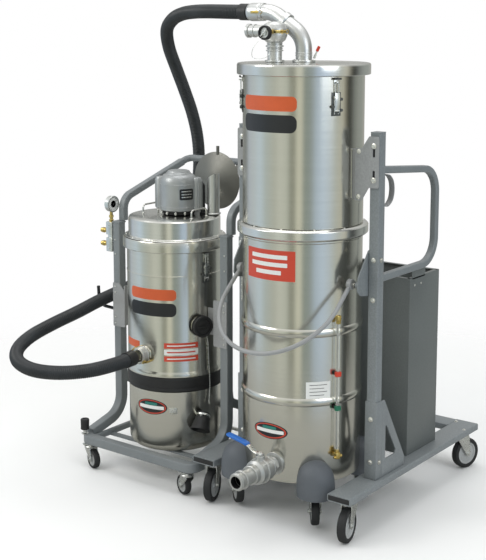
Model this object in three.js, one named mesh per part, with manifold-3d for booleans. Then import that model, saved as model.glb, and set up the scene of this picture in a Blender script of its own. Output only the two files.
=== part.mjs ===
// Portable wet dust collector: an immersion separator on a forked cart, docked beside the vacuum cart
// that draws air through it, and the suction hose that joins the two.
// Millimetres, +Z up. +X runs from the vacuum cart to the separator, +Y to the push handles at the rear.
// The origin is on the floor, under the middle of the machine's outline (hose left out).

import * as THREE from 'three';
import { mergeVertices } from 'three/addons/utils/BufferGeometryUtils.js';
import Module from 'manifold-3d';

const wasm = await Module();
wasm.setup();

// ---- Driving dimensions ----
const GAP = 0.4;                          // clearance between pieces that meet
const SEP = { x: 361.2, y: -176.8 };      // separator tank axis
const VAC = { x: SEP.x - 658, y: SEP.y + 44 };   // vacuum tank axis
const ROUND = 28;                         // sides of the big round pieces
const SMALL_ROUND = 14;                   // sides of the small round pieces

const RAIL = { leftInner: 252, w: 94, h: 26, top: 182, x: 306.5, front: -216, rear: 771, wall: 3 };
const CROSSBAR = { y0: 684, y1: 771 };
const POST = { side: 40, x: { right: 311, left: -266 }, y: 8, top: 1442 };
const HANDLE = { side: 26, yFront: 28, yRear: 431, zTop: 1300, zLow: 918, bend: 95, rise: 28 };
const FOOT = { top: 472, low: 203, reach: 164, thick: 5 };
const TANK = { r: 220.5, wall: 2.5, base: 172, top: 1058, beads: [475, 728], bead: 6 };
const UPPER = { base: 1101, top: 1634 };
const COLLAR = { r: 241, base: 1058.6, top: 1100.4 };
const LID = { r: 242, top: 1676, skirt: 1634.6 };
const BIN = { x: 302, y0: 270, y1: 497, base: 182.5, top: 872, wall: 3 };
const BAIL = { y: -54, z: 902, half: 244, arm: 109, r: 8, slope: THREE.MathUtils.degToRad(40.7) };
const VALVE = { x: 32, z: 240, start: 214, end: 446 };
const DOLLY = { x: 172, y: 157, lift: 12, domeR: 70, domeLow: 132, domeTop: 262 };
const ELBOW = { r: 30, z: 1856, rise: 1768, slant: 138, bend: 120, end: 242 };
const INLET = { x: -84, y: -63, r: 26, z: 1782, top: 1812, port: 120 };

const VTANK = { r: 193.5, base: 425, wall: 2.5 };
const VRIM = { r: 209, base: 927.5, top: 971 };
const VLID = { r: 186, base: 971.4, top: 1052 };
const VBUCKET = { base: 114, top: 364, corner: 30 };
const VBAND = { r: 197, base: 364.4, top: 424.6 };
const VPOST = { side: 38, x: 285, y: -24, low: 268, top: 1000 };
const VBAR = { y: -244, z: 119, side: 38 };
const VHANDLE = { side: 30, z: 1214, y: 386, bend: 90, shift: 8, foot: -4 };
const VWHEEL = { r: 100, w: 36, x: 236, y: 256 };
const LEG = { y: 225, z: 208 };             // knee of the rear legs, with the cross tube on it
const HOSE = { d: 57, sides: 12, steps: 64 };

// ---- Solid helpers ----
function toSolid(geometry) {
  const g = geometry.clone();
  g.deleteAttribute('normal');
  g.deleteAttribute('uv');
  const merged = mergeVertices(g, 1e-3);
  const vertProperties = new Float32Array(merged.attributes.position.array);
  const triVerts = new Uint32Array(merged.index.array);
  return new wasm.Manifold(new wasm.Mesh({ numProp: 3, vertProperties, triVerts }));
}

function toGeometry(solid) {
  const m = solid.getMesh();
  const geometry = new THREE.BufferGeometry();
  geometry.setAttribute('position', new THREE.BufferAttribute(new Float32Array(m.vertProperties), 3));
  geometry.setIndex(new THREE.BufferAttribute(new Uint32Array(m.triVerts), 1));
  geometry.computeVertexNormals();
  return geometry;
}

const join = (...parts) => toGeometry(parts.map(toSolid).reduce((a, b) => a.add(b)));
const cut = (base, ...tools) => toGeometry(tools.map(toSolid).reduce((a, b) => a.subtract(b), toSolid(base)));

function block(x0, x1, y0, y1, z0, z1) {
  return new THREE.BoxGeometry(x1 - x0, y1 - y0, z1 - z0)
    .translate((x0 + x1) / 2, (y0 + y1) / 2, (z0 + z1) / 2);
}

function rod(from, to, radius, sides = SMALL_ROUND, radiusTo = radius) {
  const a = new THREE.Vector3(...from);
  const b = new THREE.Vector3(...to);
  const turn = new THREE.Quaternion().setFromUnitVectors(
    new THREE.Vector3(0, 1, 0), b.clone().sub(a).normalize());
  return new THREE.CylinderGeometry(radiusTo, radius, a.distanceTo(b), sides)
    .applyQuaternion(turn)
    .translate((a.x + b.x) / 2, (a.y + b.y) / 2, (a.z + b.z) / 2);
}

// Turns a closed [radius, z] outline about +Z.
function turned(outline, sides = ROUND) {
  const points = outline.map(([r, z]) => new THREE.Vector2(r, z));
  if (THREE.ShapeUtils.area(points) < 0) points.reverse();
  if (outline[0][0] > 0) points.push(points[0].clone());
  return new THREE.LatheGeometry(points, sides).rotateX(Math.PI / 2);
}

// A thin-walled round shell, open at both ends.
const sleeve = (r, wall, z0, z1, sides = ROUND) =>
  turned([[r - wall, z0], [r, z0], [r, z1], [r - wall, z1]], sides);

// Plates: a flat outline given a thickness, standing across Y or across X, or lying flat.
function outlineShape(points, holes = []) {
  const ring = points.map(([x, y]) => new THREE.Vector2(x, y));
  if (THREE.ShapeUtils.area(ring) < 0) ring.reverse();
  const shape = new THREE.Shape(ring);
  for (const hole of holes) shape.holes.push(new THREE.Path(hole.map(([x, y]) => new THREE.Vector2(x, y))));
  return shape;
}
const extrude = (points, depth, holes) =>
  new THREE.ExtrudeGeometry(outlineShape(points, holes), { depth, bevelEnabled: false, steps: 1 });
const plateXZ = (points, y0, thick, holes) =>
  extrude(points, thick, holes).rotateX(Math.PI / 2).translate(0, y0 + thick, 0);
const plateYZ = (points, x0, thick, holes) =>
  extrude(points, thick, holes).rotateX(Math.PI / 2).rotateZ(Math.PI / 2).translate(x0, 0, 0);

// A path of straight runs with rounded corners, through the given corner points.
function roundedPath(corners, radius) {
  const path = new THREE.CurvePath();
  const pts = corners.map((c) => new THREE.Vector3(...c));
  let last = pts[0];
  for (let i = 1; i < pts.length - 1; i += 1) {
    const back = pts[i - 1].clone().sub(pts[i]).normalize();
    const ahead = pts[i + 1].clone().sub(pts[i]).normalize();
    const reach = radius / Math.tan(back.angleTo(ahead) / 2);
    const start = pts[i].clone().addScaledVector(back, reach);
    const end = pts[i].clone().addScaledVector(ahead, reach);
    const grip = (4 / 3) * Math.tan((Math.PI - back.angleTo(ahead)) / 4) * radius;
    path.add(new THREE.LineCurve3(last, start));
    path.add(new THREE.CubicBezierCurve3(
      start,
      start.clone().addScaledVector(back, -grip),
      end.clone().addScaledVector(ahead, -grip),
      end));
    last = end;
  }
  path.add(new THREE.LineCurve3(last, pts[pts.length - 1]));
  return path;
}

function squareSection(side) {
  const h = side / 2;
  return outlineShape([[-h, -h], [h, -h], [h, h], [-h, h]]);
}

function roundSection(radius, sides) {
  const ring = [];
  for (let i = 0; i < sides; i += 1) {
    const a = (i / sides) * Math.PI * 2;
    ring.push([radius * Math.cos(a), radius * Math.sin(a)]);
  }
  return outlineShape(ring);
}

const sweep = (path, section, steps) =>
  new THREE.ExtrudeGeometry(section, { extrudePath: path, steps, bevelEnabled: false });

// ---- Materials ----
function finish(color, roughness, metalness) {
  return new THREE.MeshStandardMaterial({ color, roughness, metalness });
}
const MAT = {
  frame: () => finish(0x73797b, 0.45, 0.3),
  darkSheet: () => finish(0x555b5a, 0.5, 0.3),
  stainless: () => finish(0xb9b5a6, 0.25, 1),
  dome: () => finish(0x5b6066, 0.6, 0),
  zinc: () => finish(0xc3c5c0, 0.3, 1),
  tyre: () => finish(0x17191b, 0.75, 0),
  rubber: () => finish(0x1b1d1f, 0.7, 0),
  brass: () => finish(0xb39a50, 0.3, 1),
  motor: () => finish(0x8d9294, 0.4, 0.6),
  clear: () => finish(0xd9dcd6, 0.15, 0),
  filter: () => finish(0xe4e0d2, 0.9, 0),
};

const machine = new THREE.Group();
const separator = new THREE.Group();
const vacuum = new THREE.Group();
separator.position.set(SEP.x, SEP.y, 0);
vacuum.position.set(VAC.x, VAC.y, 0);
machine.add(separator, vacuum);

function add(group, name, geometry, material, x = 0, y = 0, z = 0) {
  const mesh = new THREE.Mesh(geometry, material);
  mesh.name = name;
  mesh.position.set(x, y, z);
  group.add(mesh);
  return mesh;
}

// ---- Casters ----
// The swivel axis is the local Z axis and the wheel trails along local +X.
const RAIL_CASTER = { r: 62.5, w: 32, height: 156, trail: 28, crown: 34 };
const DOLLY_CASTER = { r: 50, w: 30, height: 123.4, trail: 28, crown: 32 };
const VAC_CASTER = { r: 39, w: 26, height: 99, trail: 24, crown: 27 };
const AXLE_R = 5;

function forkGeometry(c) {
  const cheek = c.w / 2 + 2;
  const thick = 3;
  const crownZ = c.height - 15;
  const side = [
    [-c.crown * 0.8, crownZ], [c.crown * 0.8, crownZ], [c.trail + 11, c.r - 6],
    [c.trail, c.r - 13], [c.trail - 11, c.r - 6],
  ];
  return join(
    rod([0, 0, crownZ - 4], [0, 0, c.height - 4], c.crown, 10),
    plateXZ(side, cheek, thick),
    plateXZ(side, -cheek - thick, thick),
    rod([c.trail, -cheek - 6, c.r], [c.trail, cheek + 6, c.r], AXLE_R, 8),
  );
}

function wheelGeometry(c) {
  const h = c.w / 2;
  const bore = AXLE_R + 0.9;
  return turned([
    [bore, -h * 0.7], [c.r - 5, -h], [c.r, -h * 0.5], [c.r, h * 0.5], [c.r - 5, h], [bore, h * 0.7],
  ], 16).rotateX(Math.PI / 2);
}

function addCaster(group, name, c, x, y, yawDeg, lift = 0) {
  const base = new THREE.Group();
  base.position.set(x, y, lift);
  base.rotation.z = THREE.MathUtils.degToRad(yawDeg);
  group.add(base);
  add(base, `${name}_fork`, forkGeometry(c), MAT.zinc());
  add(base, `${name}_wheel`, wheelGeometry(c), MAT.tyre(), c.trail, 0, c.r);
}

const casterPlate = (c, x, y, z, half) => block(x - half, x + half, y - half, y + half, z - 3.6, z + 1);

// ---- Separator cart ----
const RAIL_CASTER_SPOTS = [
  { name: 'rail_front_right', x: RAIL.x, y: -140, yaw: -79 },
  { name: 'rail_front_left', x: -RAIL.x, y: -140, yaw: -72 },
  { name: 'rail_rear_right', x: RAIL.x, y: 708, yaw: 70 },
  { name: 'rail_rear_left', x: -RAIL.x, y: 708, yaw: 95 },
];

function baseFrame() {
  const z0 = RAIL.top - RAIL.h;
  const solids = [];
  for (const s of [-1, 1]) {
    const x0 = s > 0 ? RAIL.x - RAIL.w / 2 : -RAIL.x - RAIL.w / 2;
    const x1 = s > 0 ? RAIL.x + RAIL.w / 2 : -RAIL.leftInner;
    const outer = block(x0, x1, RAIL.front, RAIL.rear, z0, RAIL.top);
    const bore = block(x0 + RAIL.wall, x1 - RAIL.wall,
      RAIL.front - 1, RAIL.rear + 1, z0 + RAIL.wall, RAIL.top - RAIL.wall);
    solids.push(cut(outer, bore));
  }
  solids.push(block(-RAIL.leftInner - 1, RAIL.x - RAIL.w / 2 + 1, CROSSBAR.y0, CROSSBAR.y1, z0, RAIL.top));
  for (const spot of RAIL_CASTER_SPOTS) {
    solids.push(casterPlate(RAIL_CASTER, spot.x, spot.y, z0, 42));
  }
  return join(...solids);
}
add(separator, 'sep_base_frame', baseFrame(), MAT.frame());

// Post with its welded push handle and its foot: a sleeve with a windowed gusset along the rail.
function postGeometry(side, s) {
  const h = POST.side / 2;
  const x = POST.x[side];
  const z0 = RAIL.top + GAP;
  const post = block(x - h, x + h, POST.y - h, POST.y + h, z0, POST.top);
  const footInner = h + FOOT.thick;
  const sleeveFoot = block(x - footInner, x + footInner, POST.y - footInner + 3, POST.y + h + 1,
    z0, FOOT.top);
  const y1 = POST.y + h;
  const gusset = plateYZ(
    [[y1 - 4, FOOT.low], [y1 + FOOT.reach, FOOT.low], [y1 + FOOT.reach, FOOT.low + 12], [y1 + 12, FOOT.top],
      [y1 - 4, FOOT.top]],
    x + s * (h + FOOT.thick / 2) - FOOT.thick / 2, FOOT.thick,
    [[[y1 + 22, 246], [y1 + 92, 246], [y1 + 98, 262], [y1 + 30, 372], [y1 + 22, 372]]]);
  const toe = block(x - 24, x + (s > 0 ? footInner : h), y1 - 2, y1 + FOOT.reach, z0, FOOT.low + 2);
  const handle = sweep(
    roundedPath([
      [x, HANDLE.yFront - 6, HANDLE.zTop + 8], [x, HANDLE.yRear, HANDLE.zTop - HANDLE.rise],
      [x, HANDLE.yRear, HANDLE.zLow], [x, HANDLE.yFront - 6, HANDLE.zLow],
    ], HANDLE.bend),
    squareSection(HANDLE.side), 28);
  return join(post, sleeveFoot, gusset, toe, handle);
}
for (const [side, s] of [['right', 1], ['left', -1]]) {
  add(separator, `sep_post_${side}`, postGeometry(side, s), MAT.frame());
}

// Plate on the post's front face, bolted to the upper tank's welded lug.
const LUG = { weld: 218, right: 262, left: 242, y0: -16, y1: -10, z0: 1202, z1: 1380 };
const BRACKET_PLATE = 4;
function tankBracket(side) {
  const outline = {
    right: [[327, 1246], [331, 1250], [331, 1422], [327, 1427], [291, 1427], [262, 1384], [234, 1384],
      [234, 1198], [262, 1198], [291, 1246]],
    left: [[-282, 1246], [-286, 1250], [-286, 1422], [-282, 1427], [-250, 1427], [-240, 1384], [-226, 1384],
      [-226, 1198], [-240, 1198], [-250, 1246]],
  };
  return plateXZ(outline[side], LUG.y0 - GAP - BRACKET_PLATE, BRACKET_PLATE);
}

// Cheek plates that carry the bail's pivot pins. The right one is bolted flat inside its post; the left one
// stands on a flange bolted to the front of its post, which is too near the tank for a plate inside it.
const CHEEK = { thick: 5, pinR: 6, leftX: -262 };
function cheekWithPin(outline, x, s) {
  const pin = rod([s * (BAIL.half - 4), BAIL.y, BAIL.z], [x + CHEEK.thick / 2, BAIL.y, BAIL.z], CHEEK.pinR);
  return [plateYZ(outline, x, CHEEK.thick), pin];
}
function leverBracketRight() {
  const back = POST.y + 16;
  const front = POST.y - 16;
  return join(...cheekWithPin([[back, 1022], [front, 1022], [BAIL.y - 22, 934], [BAIL.y - 26, 884],
    [BAIL.y - 6, 866], [back, 852]], POST.x.right - POST.side / 2 - GAP - CHEEK.thick, 1));
}
function leverBracketLeft() {
  const back = POST.y - POST.side / 2 - GAP;
  const flange = block(POST.x.left - 18, CHEEK.leftX + CHEEK.thick, back - CHEEK.thick, back, 856, 1010);
  return join(flange, ...cheekWithPin([[back, 1010], [back - 12, 1010], [BAIL.y - 22, 934],
    [BAIL.y - 26, 884], [BAIL.y - 6, 866], [back, 856]], CHEEK.leftX, -1));
}
for (const [side, leverBracket] of [['right', leverBracketRight], ['left', leverBracketLeft]]) {
  add(separator, `tank_bracket_${side}`, tankBracket(side), MAT.frame());
  add(separator, `lever_bracket_${side}`, leverBracket(), MAT.frame());
}

// Open-top sheet bin between the rear of the rails, with a flange that hooks up to the handle.
function toolBin() {
  const shell = block(-BIN.x, BIN.x, BIN.y0, BIN.y1, BIN.base, BIN.top);
  const hollow = block(-BIN.x + BIN.wall, BIN.x - BIN.wall, BIN.y0 + BIN.wall, BIN.y1 - BIN.wall,
    BIN.base + BIN.wall, BIN.top + 1);
  const tabs = [-1, 1].map((s) => block(
    s > 0 ? BIN.x - BIN.wall : -BIN.x, s > 0 ? BIN.x : -BIN.x + BIN.wall,
    BIN.y0 + 16, BIN.y0 + 116, BIN.top - 2, HANDLE.zLow - HANDLE.side / 2 - GAP));
  return join(cut(shell, hollow), ...tabs);
}
add(separator, 'tool_bin', toolBin(), MAT.darkSheet());

// Upper tank with its two welded lugs.
function upperTank() {
  const shell = sleeve(TANK.r, TANK.wall, UPPER.base, UPPER.top);
  const flange = turned([[TANK.r - 14, UPPER.base], [TANK.r, UPPER.base], [TANK.r, UPPER.base + 4],
    [TANK.r - 14, UPPER.base + 4]]);
  const { weld, left, right, y0, y1, z0, z1 } = LUG;
  return join(shell, flange, block(weld, right, y0, y1, z0, z1), block(-left, -weld, y0, y1, z0, z1));
}
add(separator, 'upper_tank', upperTank(), MAT.stainless());

add(separator, 'seal_collar', turned([
  [COLLAR.r - 4, COLLAR.base], [COLLAR.r, (COLLAR.base + COLLAR.top) / 2], [COLLAR.r - 4, COLLAR.top],
  [TANK.r - 10, COLLAR.top], [TANK.r - 10, COLLAR.base],
]), MAT.stainless());

// Lid: a shallow turned pan with a skirt, holes for the outlet elbow and the inlet pipe.
function tankLid() {
  const pan = turned([
    [0, LID.top - 8], [TANK.r + 3, LID.top - 12], [TANK.r + 3, LID.skirt],
    [LID.r, LID.skirt], [LID.r, LID.top - 8], [LID.r - 8, LID.top], [0, LID.top + 3],
  ]);
  return cut(pan,
    rod([0, 0, LID.top - 30], [0, 0, LID.top + 10], ELBOW.r + 2, 16),
    rod([INLET.x, INLET.y, LID.top - 30], [INLET.x, INLET.y, LID.top + 10], INLET.r + 2, 16));
}
add(separator, 'tank_lid', tankLid(), MAT.stainless());

// Over-centre latch: a plate hinged below the lid's skirt, closed up against it.
const LATCH = { angle: [-25, -141], r: TANK.r, pivot: 1516, top: 1628 };
function latchGeometry() {
  const bar = block(3, 7, -9, 9, 0, LATCH.top - LATCH.pivot);
  const barrel = rod([5, -9, 0], [5, 9, 0], 4, 10);
  const hook = block(4, 14, -6, 6, 98, 102);
  return join(bar, barrel, hook);
}
LATCH.angle.forEach((deg, i) => {
  const a = THREE.MathUtils.degToRad(deg);
  const mesh = add(separator, ['lid_latch_right', 'lid_latch_left'][i], latchGeometry(), MAT.zinc(),
    LATCH.r * Math.cos(a), LATCH.r * Math.sin(a), LATCH.pivot);
  mesh.rotation.z = a;
});

// Outlet elbow: up from the lid and over to the hose, bored right through.
function outletElbow() {
  const run = (r) => sweep(roundedPath([
    [0, 0, LID.top - 24 - (ELBOW.r - r)], [0, 0, ELBOW.rise], [-ELBOW.slant, 0, ELBOW.z],
    [-ELBOW.end - (ELBOW.r - r), 0, ELBOW.z],
  ], ELBOW.bend), roundSection(r, 12), 12);
  const bead = rod([-ELBOW.end + 26, 0, ELBOW.z], [-ELBOW.end + 18, 0, ELBOW.z], ELBOW.r + 4, 12);
  const flange = turned([[ELBOW.r - 2, LID.top + 4], [ELBOW.r + 12, LID.top + 4], [ELBOW.r + 12, LID.top + 9],
    [ELBOW.r - 2, LID.top + 9]], 12);
  return cut(join(run(ELBOW.r), bead, flange), run(ELBOW.r - 3));
}
add(separator, 'outlet_elbow', outletElbow(), MAT.stainless());

// Inlet manifold: pipe up from the lid, one open port to the left, one plugged port to the front.
function inletManifold() {
  const { x, y, r, z, top, port } = INLET;
  const pr = r - 5;
  const left = [x - port, y, z + 6];
  const front = [x + 4, y - 74, z];
  const solid = join(
    rod([x, y, LID.top - 24], [x, y, top], r),
    rod([x, y, LID.top + 4], [x, y, LID.top + 12], r + 10),
    rod([x, y, z + 6], left, pr),
    rod([left[0] + 12, left[1], left[2]], left, pr + 5),
    rod([x, y, z], front, pr),
    rod([front[0], front[1] + 14, front[2]], front, pr + 5));
  return cut(solid,
    rod([x, y, LID.top - 40], [x, y, z + 10], r - 4),
    rod([x, y, z + 6], [left[0] - 5, left[1], left[2]], pr - 4));
}
add(separator, 'inlet_manifold', inletManifold(), MAT.stainless());

// Immersion tube that leads the dirty air down into the liquid bath.
const DIP = { r: 38, low: 640, top: LID.top - 40 };
add(separator, 'immersion_tube', join(
  turned([[DIP.r - 3, DIP.low], [DIP.r, DIP.low], [DIP.r, DIP.top], [DIP.r - 3, DIP.top]], 16),
  turned([[DIP.r - 2, 1128], [172, 1128], [172, 1132], [DIP.r - 2, 1132]], 16),
).translate(INLET.x / 3, INLET.y / 3, 0), MAT.stainless());

// ---- Lower tank, lifted against the collar by the bail ----
function lowerTank() {
  const { r, wall, base, top, bead } = TANK;
  const outer = [[0, base], [r - 8, base], [r, base + 8]];
  for (const z of TANK.beads) outer.push([r, z - 12], [r + bead, z], [r, z + 12]);
  outer.push([r, top - 8], [r + 9, top - 5], [r + 9, top], [r - wall, top], [r - wall, base + 10],
    [0, base + wall]);
  const nipple = rod([VALVE.x, -(r - 6), VALVE.z], [VALVE.x, -VALVE.start - 22, VALVE.z], 24);
  const bore = rod([VALVE.x, -(r - 40), VALVE.z], [VALVE.x, -VALVE.start - 40, VALVE.z], 19);
  return cut(join(turned(outer), nipple), bore);
}
add(separator, 'lower_tank', lowerTank(), MAT.stainless());

// Dolly: round plate under the tank with four outriggers, each with a domed cover over its caster.
const DOLLY_SPOTS = [
  { name: 'dolly_front_right', x: DOLLY.x, y: -DOLLY.y, yaw: 128 },
  { name: 'dolly_front_left', x: -DOLLY.x, y: -DOLLY.y, yaw: 140 },
  { name: 'dolly_rear_right', x: DOLLY.x, y: DOLLY.y, yaw: 100 },
  { name: 'dolly_rear_left', x: -DOLLY.x, y: DOLLY.y, yaw: 75 },
];

function domeOutline() {
  const outline = [[0, DOLLY.domeLow], [DOLLY.domeR, DOLLY.domeLow]];
  const tall = DOLLY.domeTop - DOLLY.domeLow;
  for (let i = 1; i <= 4; i += 1) {
    const a = (i / 4) * Math.PI / 2;
    outline.push([DOLLY.domeR * Math.cos(a) ** 0.72, DOLLY.domeLow + tall * Math.sin(a)]);
  }
  outline[outline.length - 1][0] = 0;
  return outline;
}

function tankDolly() {
  const floor = TANK.base - GAP;
  const plate = turned([[0, floor - 8], [188, floor - 8], [188, floor], [0, floor]], 24);
  const arms = [];
  for (const spot of DOLLY_SPOTS) {
    arms.push(turned(domeOutline(), SMALL_ROUND).translate(spot.x, spot.y, 0));
    arms.push(rod([spot.x * 0.94, spot.y * 0.94, DOLLY.domeLow + 12],
      [spot.x * 0.72, spot.y * 0.72, floor - 4], 8, 8));
  }
  const room = rod([0, 0, floor], [0, 0, 700], TANK.r + GAP, ROUND);
  return cut(join(plate, ...arms), room);
}
add(separator, 'tank_dolly', tankDolly(), MAT.dome());

// Sight tube between two elbow fittings on the tank's right front.
const GAUGE = { deg: -22.5, r: TANK.r + 17, low: 262, high: 792 };
function levelGauge() {
  const fitting = (z) => join(
    rod([TANK.r + 1.2, 0, z], [GAUGE.r + 4, 0, z], 8, 12),
    rod([GAUGE.r, 0, z - 13], [GAUGE.r, 0, z + 13], 10, 12));
  return join(fitting(GAUGE.low + 10), fitting(GAUGE.high - 10),
    rod([GAUGE.r, 0, GAUGE.low + 14], [GAUGE.r, 0, GAUGE.high - 14], 5.5, 12));
}
add(separator, 'level_gauge', levelGauge(), MAT.clear()).rotation.z = THREE.MathUtils.degToRad(GAUGE.deg);

// Bail: a U-shaped bar round the front of the tank, pivoted on the two lever brackets.
function bailLever() {
  const along = (x, s) => [x, -s * Math.cos(BAIL.slope), -s * Math.sin(BAIL.slope)];
  const path = new THREE.CurvePath();
  const point = (x, s) => new THREE.Vector3(...along(x, s));
  const k = 0.5523 * BAIL.half;
  path.add(new THREE.LineCurve3(point(BAIL.half, -14), point(BAIL.half, BAIL.arm)));
  path.add(new THREE.CubicBezierCurve3(point(BAIL.half, BAIL.arm), point(BAIL.half, BAIL.arm + k),
    point(k, BAIL.arm + BAIL.half), point(0, BAIL.arm + BAIL.half)));
  path.add(new THREE.CubicBezierCurve3(point(0, BAIL.arm + BAIL.half), point(-k, BAIL.arm + BAIL.half),
    point(-BAIL.half, BAIL.arm + k), point(-BAIL.half, BAIL.arm)));
  path.add(new THREE.LineCurve3(point(-BAIL.half, BAIL.arm), point(-BAIL.half, -14)));
  const bar = sweep(path, roundSection(BAIL.r, 8), 20);
  const eyes = [-1, 1].map((s) => rod([s * (BAIL.half - 9), 0, 0], [s * (BAIL.half + 9), 0, 0], 19));
  const holes = [-1, 1].map((s) => rod([s * (BAIL.half - 20), 0, 0], [s * (BAIL.half + 20), 0, 0], 7));
  return cut(join(bar, ...eyes), ...holes);
}
add(separator, 'bail_lever', bailLever(), MAT.zinc(), 0, BAIL.y, BAIL.z);

// Drain: ball valve on the tank's nipple, with a camlock adapter on its open end.
function valveBody() {
  const y = (v) => -v;
  const solids = [
    [VALVE.start + 22 + GAP, VALVE.start + 48, 34], [VALVE.start + 46, VALVE.start + 130, 38],
    [VALVE.start + 128, VALVE.start + 150, 32], [VALVE.start + 148, VALVE.start + 172, 37],
    [VALVE.start + 170, VALVE.start + 212, 31], [VALVE.start + 210, VALVE.end - VALVE.start + 214, 36],
  ].map(([a, b, r]) => rod([VALVE.x, y(a), VALVE.z], [VALVE.x, y(b), VALVE.z], r));
  const stemY = y(VALVE.start + 88);
  const stem = rod([VALVE.x, stemY, VALVE.z + 20], [VALVE.x, stemY, VALVE.z + 56], 17, 12);
  const pad = block(VALVE.x - 22, VALVE.x + 22, stemY - 22, stemY + 22, VALVE.z + 48, VALVE.z + 56);
  const bore = rod([VALVE.x, y(VALVE.start), VALVE.z], [VALVE.x, y(VALVE.end + 10), VALVE.z], 24);
  return cut(join(...solids, stem, pad), bore);
}
add(separator, 'drain_valve_body', valveBody(), MAT.stainless());

const VALVE_LEVER = { y: -(VALVE.start + 88), z: VALVE.z + 56 + GAP, length: 158 };
function valveLever() {
  const hub = rod([0, 0, 0], [0, 0, 12], 13, 12);
  const shank = rod([0, 0, 6], [-VALVE_LEVER.length * 0.42, 8, 26], 6, 8);
  const grip = rod([-VALVE_LEVER.length * 0.38, 7.5, 25], [-VALVE_LEVER.length, 12, 40], 9.5, 10);
  return join(hub, shank, grip);
}
add(separator, 'drain_valve_lever', valveLever(), MAT.zinc(), VALVE.x, VALVE_LEVER.y, VALVE_LEVER.z);

for (const spot of RAIL_CASTER_SPOTS) {
  addCaster(separator, spot.name, RAIL_CASTER, spot.x, spot.y, spot.yaw);
}
for (const spot of DOLLY_SPOTS) {
  addCaster(separator, spot.name, DOLLY_CASTER, spot.x, spot.y, spot.yaw, DOLLY.lift);
}

// ---- Vacuum cart ----
const VAC_CASTER_SPOTS = [
  { name: 'vac_front_left', x: -262, y: -236, yaw: -20 },
  { name: 'vac_front_right', x: 256, y: -236, yaw: 160 },
];

// Open hook that holds the hose beside the left post.
function hoseHook() {
  const x = -VPOST.x - VPOST.side / 2;
  const y = VPOST.y;
  return join(
    block(x - 4, x + 1, y - 15, y + 15, 600, 690),
    sweep(roundedPath([[x - 2, y, 618], [-378, y, 622], [-408, y, 650], [-411, y, 706]], 14),
      roundSection(7, 8), 16));
}

// Front bar, two bent side tubes that rise into the posts, two rear legs and the axle tube.
function vacFrame() {
  const { side, x, y, low, top } = VPOST;
  const bend = 95;
  const solids = [];
  for (const s of [-1, 1]) {
    const sx = s * x;
    solids.push(sweep(roundedPath([
      [sx, VBAR.y + 34, VBAR.z + 13], [sx, y, VBAR.z + 62], [sx, y, top],
    ], bend), squareSection(side), 16));
    solids.push(sweep(roundedPath([
      [sx, y, low + 130], [sx, y + 12, low + 60], [sx, LEG.y, LEG.z], [sx, VWHEEL.y, VWHEEL.r - 18],
    ], 30), squareSection(side - 4), 8));
    solids.push(block(s > 0 ? 237 : -x - side / 2, s > 0 ? x + side / 2 : -237, y - 24, y - 18, 551, 738));
    solids.push(block(s > 0 ? VTANK.r + GAP : -x + 1, s > 0 ? x - 1 : -VTANK.r - GAP,
      y - 4, y + 2, 590, 700));
  }
  solids.push(sweep(roundedPath([
    [-x, VBAR.y + 60, VBAR.z], [-x, VBAR.y, VBAR.z], [x, VBAR.y, VBAR.z], [x, VBAR.y + 60, VBAR.z],
  ], 46), squareSection(side), 18));
  solids.push(block(-x, x, LEG.y - 15, LEG.y + 15, LEG.z, LEG.z + 30));
  solids.push(rod([-x, VWHEEL.y, VWHEEL.r], [x, VWHEEL.y, VWHEEL.r], 8, 10));
  for (const spot of VAC_CASTER_SPOTS) {
    solids.push(casterPlate(VAC_CASTER, spot.x, spot.y, VBAR.z - side / 2, 26));
  }
  return join(...solids, hoseHook());
}
add(vacuum, 'vac_frame', vacFrame(), MAT.frame());

// Bent push handle, its two ends resting on the posts.
function vacHandle() {
  const { side, z, y, bend, shift, foot } = VHANDLE;
  const zLow = VPOST.top + GAP;
  const rise = THREE.MathUtils.degToRad(17.5);
  const zKnee = z - (y - foot) * Math.tan(rise);
  const left = shift - VPOST.x;
  const right = shift + VPOST.x;
  const arm = (x) => sweep(roundedPath([[x, foot, zLow], [x, foot, zKnee], [x, y, z]], bend),
    squareSection(side), 12);
  const grip = sweep(roundedPath([
    [left, y - 4, z - 1.5], [left, y + 40, z + 10], [right, y + 40, z + 10], [right, y - 4, z - 1.5],
  ], 36), roundSection(side / 2, 8), 12);
  return join(arm(left), arm(right), grip);
}
add(vacuum, 'vac_handle', vacHandle(), MAT.frame());

const VAC_INLET = { x: 6, z: 515, r: 27, out: -262 };
function vacTank() {
  const { r, wall, base } = VTANK;
  const shell = turned([
    [r - wall, base], [r + 5, base], [r + 5, base + 18], [r, base + 24], [r, VRIM.base], [VRIM.r, VRIM.base],
    [VRIM.r, VRIM.top - 4], [VRIM.r - 4, VRIM.top], [r - wall, VRIM.top],
  ]);
  const x = VAC_INLET.x;
  const stub = rod([x, -r + 20, VAC_INLET.z], [x, VAC_INLET.out + 20, VAC_INLET.z], VAC_INLET.r);
  const bore = rod([x, -r + 40, VAC_INLET.z], [x, VAC_INLET.out, VAC_INLET.z], VAC_INLET.r - 3);
  const a = THREE.MathUtils.degToRad(-20.7);
  const port = rod([(r - 6) * Math.cos(a), (r - 6) * Math.sin(a), 634],
    [(r + 14) * Math.cos(a), (r + 14) * Math.sin(a), 634], 34, 18);
  const portBore = rod([(r - 20) * Math.cos(a), (r - 20) * Math.sin(a), 634],
    [(r + 30) * Math.cos(a), (r + 30) * Math.sin(a), 634], 29, 18);
  return cut(join(shell, stub, port), bore, portBore);
}
add(vacuum, 'vac_tank', vacTank(), MAT.stainless());

add(vacuum, 'vac_bucket', (() => {
  const { base, top, corner } = VBUCKET;
  const r = VTANK.r - 3;
  const w = VTANK.wall;
  return turned([
    [0, base], [r - corner, base], [r - corner * 0.3, base + corner * 0.3], [r, base + corner], [r, top],
    [r - w, top], [r - w, base + corner + 1], [r - corner, base + w], [0, base + w],
  ]);
})(), MAT.stainless());

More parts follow.
